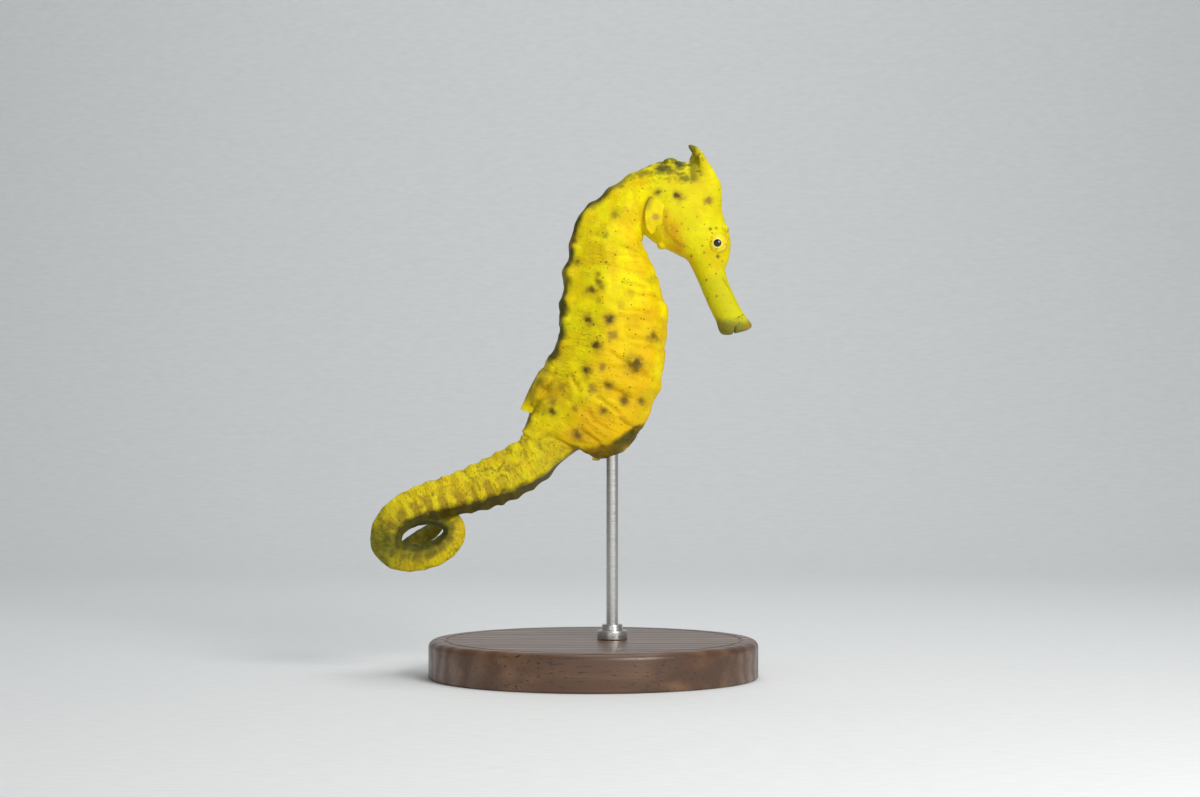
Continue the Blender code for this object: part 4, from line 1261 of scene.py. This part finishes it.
colour = blend_colours(skin_tree, broad_share, (0.90, 0.78, 0.001, 1), (0.79, 0.54, 0.002, 1))
lime_share = skin_noise(260.0, 2.0, 0.52, 0.64)
for amount, paint, strength in (
    (lime_share, (0.76, 0.76, 0.001, 1), 0.5),
    (middle_share, (0.66, 0.47, 0.002, 1), 0.42),
    # the snout's and head's green, and on the trunk's back partly painted shade
    ("green_and_back_shade", (0.49, 0.52, 0.010, 1), 0.8),
    ("warm", (0.80, 0.48, 0.004, 1), 0.9),
    # painted shade in folds and furrows, with random tone
    ("crease_shade_and_tone", (0.60, 0.34, 0.004, 1), 0.75),
):
    colour = lay_over(colour, amount, paint, strength)
tail_tone = blend_colours(skin_tree, middle_share, (0.60, 0.48, 0.018, 1), (0.36, 0.29, 0.024, 1))
colour = lay_over(colour, "tail", tail_tone, 0.5)
print("ground colours:", len(skin_tree.nodes), "nodes")

# %% [markdown]
# A patch of one flat colour would look like a sticker. So the large patches are each painted in
# two tones, mixed by a noise. The small spots have one tone, and the darkest blotches get a
# nearly black core.

# %% Skin: patches and blotches
dark_mottle = skin_noise(480.0, 4.0, 0.54, 0.68, Distortion=0.8)
for name, paint, strength in (
    ("wrinkled", (0.30, 0.22, 0.014, 1), 0.4),
    ("tail", (0.14, 0.11, 0.016, 1), 0.45),
):
    mottle = arithmetic(skin_tree, "MULTIPLY", dark_mottle, amount_of(skin_tree, name))
    colour = lay_over(colour, mottle, paint, strength)
for name, share, light, dark, strength in (
    ("tail_patch", fine_share, (0.36, 0.22, 0.016, 1), (0.17, 0.11, 0.014, 1), 0.7),
    # the next two are painted shade: under the tail, and inside the coil
    ("tail_shade", middle_share, (0.020, 0.022, 0.006, 1), (0.055, 0.052, 0.008, 1), 0.9),
    ("coil_shade", middle_share, (0.15, 0.16, 0.02, 1), (0.055, 0.065, 0.012, 1), 0.85),
    # painted shade on the underside, partly the skin's own brown
    ("underside_brown_and_shade", middle_share, (0.20, 0.115, 0.006, 1), (0.11, 0.07, 0.005, 1), 0.92),
    # olive: the skin's olive, with painted shade on the back, in the crest's hollow and on the underside
    ("olive_and_shade", middle_share, (0.085, 0.08, 0.010, 1), (0.035, 0.036, 0.008, 1), 0.95),
):
    colour = lay_over(colour, name, blend_colours(skin_tree, share, light, dark), strength)
for name, paint, strength in (
    ("lips", (0.15, 0.145, 0.03, 1), 0.85),
    ("halo", (0.42, 0.27, 0.012, 1), 0.85),
    ("pale_brown", (0.40, 0.24, 0.03, 1), 0.9),
    ("blotch", (0.13, 0.08, 0.012, 1), 0.95),
):
    colour = lay_over(colour, name, paint, strength)
blotch_core = scale_range(skin_tree, amount_of(skin_tree, "blotch"), 0.55, 0.95)
colour = lay_over(colour, blotch_core, (0.035, 0.028, 0.008, 1), 0.7)
print("with patches and blotches:", len(skin_tree.nodes), "nodes")

# %% [markdown]
# The dust of dots is a Voronoi texture: each cell holds one dot, and the cell's random colour
# decides whether its dot is shown. Four layers with different cells look less regular than one.


# %% Skin: dots
def dot_layer(tree, place, scale, radius, shown):
    """Dots one cell apart on average; only that share of the cells shows its dot."""
    cells = add_node(tree, "ShaderNodeTexVoronoi", {"Vector": place, "Scale": scale})
    inside = scale_range(tree, cells.outputs["Distance"], radius, radius * 0.45)
    chance = add_node(tree, "ShaderNodeSeparateColor", {"Color": cells.outputs["Color"]}).outputs[0]
    chosen = arithmetic(tree, "LESS_THAN", chance, shown)
    return arithmetic(tree, "MULTIPLY", inside, chosen)


small_dots = dot_layer(skin_tree, skin_place, 700.0, 0.17, 0.6)
large_dots = dot_layer(skin_tree, skin_place, 270.0, 0.10, 0.4)
dust = dot_layer(skin_tree, skin_place, 1250.0, 0.20, 0.30)
extra_dots = dot_layer(skin_tree, skin_place, 900.0, 0.17, 0.65)
extra_dots = arithmetic(skin_tree, "MULTIPLY", extra_dots, amount_of(skin_tree, "dusty"))
colour = lay_over(colour, dust, (0.28, 0.15, 0.012, 1), 0.8)
dots = arithmetic(skin_tree, "MAXIMUM", small_dots, large_dots)
dots = arithmetic(skin_tree, "MAXIMUM", dots, extra_dots)
colour = lay_over(colour, dots, (0.10, 0.055, 0.010, 1), 0.8)
print("with dots:", len(skin_tree.nodes), "nodes")

# %% [markdown]
# The finest wrinkles are too small to model, so they are lines of painted crease shade that also
# press the bump in.
# A noise passes its middle value along thin winding lines, and those are the wrinkles. The stored
# girth vector (distance along the body, and the place round it) stretches them round the body.
# Tiny pores finish the bump.

# %% Skin: fine wrinkles
girth_place = add_node(skin_tree, "ShaderNodeAttribute", attribute_name="girth").outputs["Vector"]
wide_place = stretch(skin_tree, girth_place, (2.2, 0.24, 0.24))
wrinkle_noise = add_noise(skin_tree, wide_place, 1.0, 3.0, Distortion=0.3)
off_line = arithmetic(skin_tree, "SUBTRACT", wrinkle_noise, 0.5)
off_line = add_node(skin_tree, "ShaderNodeMath", {0: off_line}, operation="ABSOLUTE").outputs[0]
wrinkle_line = scale_range(skin_tree, off_line, 0.035, 0.0)
wrinkle_line = arithmetic(skin_tree, "MULTIPLY", wrinkle_line, amount_of(skin_tree, "wrinkled"))
finer_place = stretch(skin_tree, girth_place, (3.0, 0.6, 0.6))
finer_noise = add_noise(skin_tree, finer_place, 1.0, 2.0, Distortion=0.8)
finer_line = scale_range(skin_tree, finer_noise, 0.60, 0.68)
finer_line = arithmetic(skin_tree, "MULTIPLY", finer_line, amount_of(skin_tree, "tail"))
wrinkle_line = arithmetic(skin_tree, "MAXIMUM", wrinkle_line, finer_line)
# painted shade: the fine wrinkles and the tail's finer lines are darkened as crease shade
colour = lay_over(colour, wrinkle_line, (0.17, 0.11, 0.012, 1), 0.55)
# painted shade: the mouth slit and the creases are nearly black
colour = lay_over(colour, "slit_and_crease_shade", (0.07, 0.03, 0.008, 1))
skin_tree.links.new(colour, skin_shader.inputs["Base Color"])
print("with wrinkles:", len(skin_tree.nodes), "nodes")

# %% Skin: gloss and pores
skin_rough = scale_range(skin_tree, fine_share, 0.0, 1.0, 0.48, 0.62)
skin_tree.links.new(skin_rough, skin_shader.inputs["Roughness"])
skin_pores = skin_noise(3200.0, 3.0, 0.3, 0.7)
pore_height = arithmetic(skin_tree, "ADD", skin_pores, fine_share)
pore_height = arithmetic(skin_tree, "SUBTRACT", pore_height, wrinkle_line)
press_in(skin_tree, skin_shader, pore_height, 0.35, 0.00012)
seahorse.data.materials.append(skin_material)

FLESH = ("snout", "head", "coronet", "neck", "trunk", "tail")
flesh_solids = [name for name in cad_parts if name.startswith(FLESH)]
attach(seahorse, "root")
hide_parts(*flesh_solids)
print("skin stands for", len(flesh_solids), "solids")

# %% [markdown]
# ## Eyes
#
# A seahorse's eye is a small turret: a skin-coloured ball with a dark pupil behind a clear, wet
# front. Museum models use glass eyes, set into the head as separate pieces. Each is a ball whose
# points near the pupil are pushed out a little, like the lens of a real eye. The distance from
# the pupil's middle is stored on the points, so the rings of colour need no flat map.


# %% Eyeballs
PUPIL_RADIUS, LENS_RADIUS, LENS_HEIGHT = 0.78, 1.15, 0.16
LOOK_AHEAD = math.radians(2.0)


def make_eyeball(name, centre, radius, side):
    bm = bmesh.new()
    bmesh.ops.create_uvsphere(bm, u_segments=96, v_segments=64, radius=1.0)
    mesh = bpy.data.meshes.new(name)
    bm.to_mesh(mesh)
    bm.free()
    directions = read_points(mesh)
    look = np.array((math.sin(LOOK_AHEAD), side * math.cos(LOOK_AHEAD), 0.0))
    facing = directions @ look
    off_axis = radius * np.sqrt(np.maximum(1 - facing**2, 0)) + (facing < 0) * radius
    lens = LENS_HEIGHT * bump_shape(off_axis, LENS_RADIUS)
    shaped = (directions * (radius + lens[:, None]) + np.array(centre)) * MM
    mesh.vertices.foreach_set("co", shaped.ravel())
    store(mesh, "from_pupil", off_axis)
    mesh.shade_smooth()
    return put_in_scene(bpy.data.objects.new(name, mesh))


eyes = []
for side, name in ((-1, "right"), (1, "left")):
    low, high = (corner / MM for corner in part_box(f"eye_{name}"))
    eye = make_eyeball(f"glass_eye_{name}", (low + high) / 2, (high.x - low.x) / 2, side)
    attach(eye, "root")
    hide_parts(f"eye_{name}")
    eyes.append(eye)
print("eyeball radius", round(EYE_RADIUS, 2), "mm")

# %% [markdown]
# From the middle outwards the eye is a black pupil, a pale ring and speckled yellow, with brown
# painted shade at the rim, where the ball sits in its socket. The clear coat lies over the front
# only, so the front is wet and the rim is skin.

# %% Eye material
eye_material, eye_tree, eye_shader = new_material(
    "Glass eye", Roughness=0.45, Coat_Roughness=0.05, Specular_IOR_Level=0.2
)
from_pupil = amount_of(eye_tree, "from_pupil")
eye_place = add_node(eye_tree, "ShaderNodeTexCoord").outputs["Object"]
eye_noise = add_noise(eye_tree, eye_place, 1500.0, 3.0)
edge = arithmetic(eye_tree, "ADD", from_pupil, scale_range(eye_tree, eye_noise, 0.3, 0.7, -0.10, 0.10))
eye_share = scale_range(eye_tree, eye_noise, 0.4, 0.65)
eye_colour = blend_colours(eye_tree, eye_share, (0.88, 0.70, 0.008, 1), (0.78, 0.56, 0.008, 1))
eye_dots = arithmetic(eye_tree, "MULTIPLY", dot_layer(eye_tree, eye_place, 900.0, 0.22, 0.45), 0.8)
eye_colour = blend_colours(eye_tree, eye_dots, eye_colour, (0.16, 0.07, 0.01, 1))
# painted shade: brown at the rim, where the ball sits in its socket
rim_shade = arithmetic(eye_tree, "MULTIPLY", scale_range(eye_tree, edge, 1.85, 2.15), 0.5)
eye_colour = blend_colours(eye_tree, rim_shade, eye_colour, (0.50, 0.34, 0.02, 1))
pale_ring = scale_range(eye_tree, edge, 1.15, 0.95)
eye_colour = blend_colours(eye_tree, pale_ring, eye_colour, (0.86, 0.76, 0.14, 1))
pupil = scale_range(eye_tree, from_pupil, PUPIL_RADIUS + 0.05, PUPIL_RADIUS - 0.03)
eye_colour = blend_colours(eye_tree, pupil, eye_colour, (0.004, 0.005, 0.004, 1))
eye_tree.links.new(eye_colour, eye_shader.inputs["Base Color"])
eye_coat = scale_range(eye_tree, from_pupil, 1.5, 0.9, 0.04, 0.7)
eye_tree.links.new(eye_coat, eye_shader.inputs["Coat Weight"])
for eye in eyes:
    eye.data.materials.append(eye_material)
print("eye nodes:", len(eye_tree.nodes))

# %% [markdown]
# ## Fins
#
# The fins are thin skin over soft rays. A flat sheet would look like paper, so each fin is a
# closed sheet that is a little thicker at every ray than between them, and its free edge is
# slightly notched. All four fins are made by one function from a line of feet and a line of tips.


# %% Finned sheets
FIN_SPOT, FIN_STEPS = (9.1, 51.0), 14


def fin_sheets(feet, tips, sideways, reach, ray_wave, root, edge, curl, ribs):
    """The front and back sheets of a fin: grids of points, from feet to tips."""
    notch = 1.0 - 0.5 * ribs * (1 - ray_wave)
    reach = reach[:, None]
    full_reach = reach * (1 - (1 - notch)[None] * reach)
    sheet = feet[None] + (tips - feet)[None] * full_reach[..., None]
    sheet = sheet + sideways * curl * (reach**2)[..., None]
    thick = (root + (edge - root) * reach) * (1 - ribs + ribs * ray_wave)[None]
    return [sheet + side * sideways * thick[..., None] / 2 for side in (-1, 1)]


def make_fin(name, feet, tips, sideways, rays, root, edge, ribs, curl=0.0, edge_tint=1.0):
    """A fin from its lines of feet and tips; sideways is its flat normal, root and edge are its
    thicknesses, ribs is how far it thins between rays, and edge_tint darkens its free edge."""
    columns, reach = len(feet), np.linspace(0, 1, FIN_STEPS)
    ray_wave = np.cos(math.pi * (rays - 1) * np.linspace(0, 1, columns)) ** 2
    front, back = fin_sheets(feet, tips, sideways, reach, ray_wave, root, edge, curl, ribs)
    loops = np.concatenate([front, back[::-1]], axis=0).transpose(1, 0, 2)
    bm = bmesh.new()
    net_mesh(bm, loops)
    bmesh.ops.recalc_face_normals(bm, faces=bm.faces)
    mesh = bpy.data.meshes.new(name)
    bm.to_mesh(mesh)
    bm.free()
    around = 2 * FIN_STEPS
    store(mesh, "ray", np.repeat(ray_wave, around))
    store(mesh, "outward", np.tile(np.concatenate([reach, reach[::-1]]), columns))
    store(mesh, "edge_tint", np.repeat(np.broadcast_to(edge_tint, columns), around))
    places = read_points(mesh)
    from_spot = np.hypot(places[:, 0] - FIN_SPOT[0], places[:, 2] - FIN_SPOT[1])
    store(mesh, "spot", 1 - rising(from_spot, 0.5, 0.5))
    mesh.transform(BODY_PLACE)
    mesh.shade_smooth()
    return put_in_scene(bpy.data.objects.new(name, mesh))


print("points round one column of a fin:", 2 * FIN_STEPS)

# %% [markdown]
# The back fin stands on the body's own back line, which the body's surface function gives, and
# leans a little towards the tail. The other fins are fans: their feet stand on a short line and
# their rays spread from it.


# %% Lines of feet and tips
COLUMNS_PER_RAY = 8
DORSAL_RAYS, PECTORAL_RAYS, ANAL_RAYS = 17, 16, 4


def dorsal_lines():
    """The back fin: it rises quickly at its front end and is tallest at its rear end."""
    count = (DORSAL_RAYS - 1) * COLUMNS_PER_RAY + 1
    share = np.linspace(0, 1, count)
    far = station_at["keel"] - 1.5 + (station_at["anal"] - station_at["keel"] + 1.5) * share
    rim = body_surface(far, np.zeros((count, 1)))[:, 0]
    row = rows_at(far)
    outward = unit(row[:, BACK] - row[:, BELLY])
    lean = unit(outward + 0.3 * unit(np.gradient(rim, axis=0)))
    feet = rim - outward * 0.3
    tall = (0.8 + 1.2 * np.sqrt(share)) * smooth_step(share / 0.18) + 0.8
    return feet, feet + lean * tall[:, None]


def fan_lines(base, width, reach, spread, rays, turn):
    """A fan round base that points back along -X before it is turned; width is its foot's."""
    share = 1 - 2 * np.linspace(0, 1, (rays - 1) * COLUMNS_PER_RAY + 1)
    feet = np.stack([np.zeros_like(share), np.zeros_like(share), width / 2 * share], axis=1)
    way = np.stack([-np.cos(spread * share), np.zeros_like(share), np.sin(spread * share)], axis=1)
    turn = np.array(turn)
    rounded = reach * (1 - 0.2 * share**4)[:, None]
    feet, tips = feet @ turn.T, (feet + way * rounded) @ turn.T
    return np.array(base) + feet, np.array(base) + tips


print("rays:", DORSAL_RAYS, PECTORAL_RAYS, ANAL_RAYS)

# %% Four fins
ACROSS = np.array((0, 1.0, 0))

feet, tips = dorsal_lines()
dark_rim = 1.1 - 0.9 * rising(np.linspace(0, 1, len(feet)), 0.72, 0.2)
dorsal_fin = make_fin(
    "dorsal_fin_skin", feet, tips, ACROSS, DORSAL_RAYS, 3.8, 0.8, ribs=0.015, edge_tint=dark_rim
)
turn = Matrix.Rotation(math.radians(-86), 3, "Y")
feet, tips = fan_lines((-3.4, 0, 0.45), 1.3, 0.95, math.radians(15), ANAL_RAYS, turn)
anal_fin = make_fin("anal_fin_skin", feet, tips, ACROSS, ANAL_RAYS, 0.6, 0.3, ribs=0.01)
fins = [dorsal_fin, anal_fin]
for side, name in ((-1, "right"), (1, "left")):
    turn = Matrix.Rotation(side * math.radians(5), 3, "Z")
    base = (11.0, side * 4.85, 51.4)
    feet, tips = fan_lines(base, 4.2, 4.2, math.radians(35), PECTORAL_RAYS, turn)
    for line in (feet, tips):  # the lower part follows the flank inwards
        line[:, 1] -= side * 0.07 * np.maximum(52.0 - line[:, 2], 0) ** 2
    out = np.array(turn) @ np.array((0, side, 0.0))
    # painted shade: the breast fins' dark edge lies along their upper part only
    upper_edge_shade = rising(feet[:, 2], 51.2, 1.4)
    fins.append(
        make_fin(
            f"pectoral_fin_{name}_skin", feet, tips, out, PECTORAL_RAYS, 0.7, 0.2,
            ribs=0.03, curl=0.1, edge_tint=upper_edge_shade,
        )
    )  # fmt: skip
for fin in fins:
    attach(fin, "root")
    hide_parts(fin.name.removesuffix("_skin"))
print("fins:", ", ".join(fin.name for fin in fins))

# %% [markdown]
# The fins have the skin's yellow, a little browner between the rays, with a dark free edge, dots
# like the skin's and, on the breast fins, one brown spot. On the breast fins the dark edge is
# painted shade, along their upper part only.

# %% Fin material
fin_material, fin_tree, fin_shader = new_material(
    "Fin membrane", Roughness=0.5, Subsurface_Weight=0.15, Subsurface_Scale=0.001, Specular_IOR_Level=0.2
)
fin_place = add_node(fin_tree, "ShaderNodeTexCoord").outputs["Object"]
fin_noise = add_noise(fin_tree, fin_place, 700.0, 3.0)
fin_share = scale_range(fin_tree, fin_noise, 0.35, 0.7)
fin_colour = blend_colours(fin_tree, fin_share, (0.90, 0.75, 0.002, 1), (0.78, 0.56, 0.003, 1))
off_ray = scale_range(fin_tree, amount_of(fin_tree, "ray"), 0.6, 0.0, 0.0, 0.1)
fin_colour = blend_colours(fin_tree, off_ray, fin_colour, (0.60, 0.38, 0.015, 1))
# dark free edge: colour on the back fin, painted shade on the breast fins
fin_edge = scale_range(fin_tree, amount_of(fin_tree, "outward"), 0.55, 1.0, 0.0, 0.85)
fin_edge = arithmetic(fin_tree, "MULTIPLY", fin_edge, amount_of(fin_tree, "edge_tint"))
fin_colour = blend_colours(fin_tree, fin_edge, fin_colour, (0.22, 0.17, 0.015, 1))
spot_share = arithmetic(fin_tree, "MULTIPLY", amount_of(fin_tree, "spot"), 0.75)
fin_colour = blend_colours(fin_tree, spot_share, fin_colour, (0.46, 0.26, 0.05, 1))
fin_dots = arithmetic(fin_tree, "MULTIPLY", dot_layer(fin_tree, fin_place, 620.0, 0.16, 0.5), 0.75)
fin_colour = blend_colours(fin_tree, fin_dots, fin_colour, (0.10, 0.055, 0.01, 1))
fin_tree.links.new(fin_colour, fin_shader.inputs["Base Color"])
press_in(fin_tree, fin_shader, fin_noise, 0.2, 0.0001)
for fin in fins:
    fin.data.materials.append(fin_material)
print("fin nodes:", len(fin_tree.nodes))

# %% [markdown]
# ## Size and finish
#
# Both boxes, the solid model's and the dressed one's, are printed side by side.

# %% Size and finish
dressed_box = [list(corner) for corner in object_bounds()]
for name, box in (("solid", solid_box), ("dressed", dressed_box)):
    print(name, [round((high - low) / MM, 1) for low, high in zip(*box)])
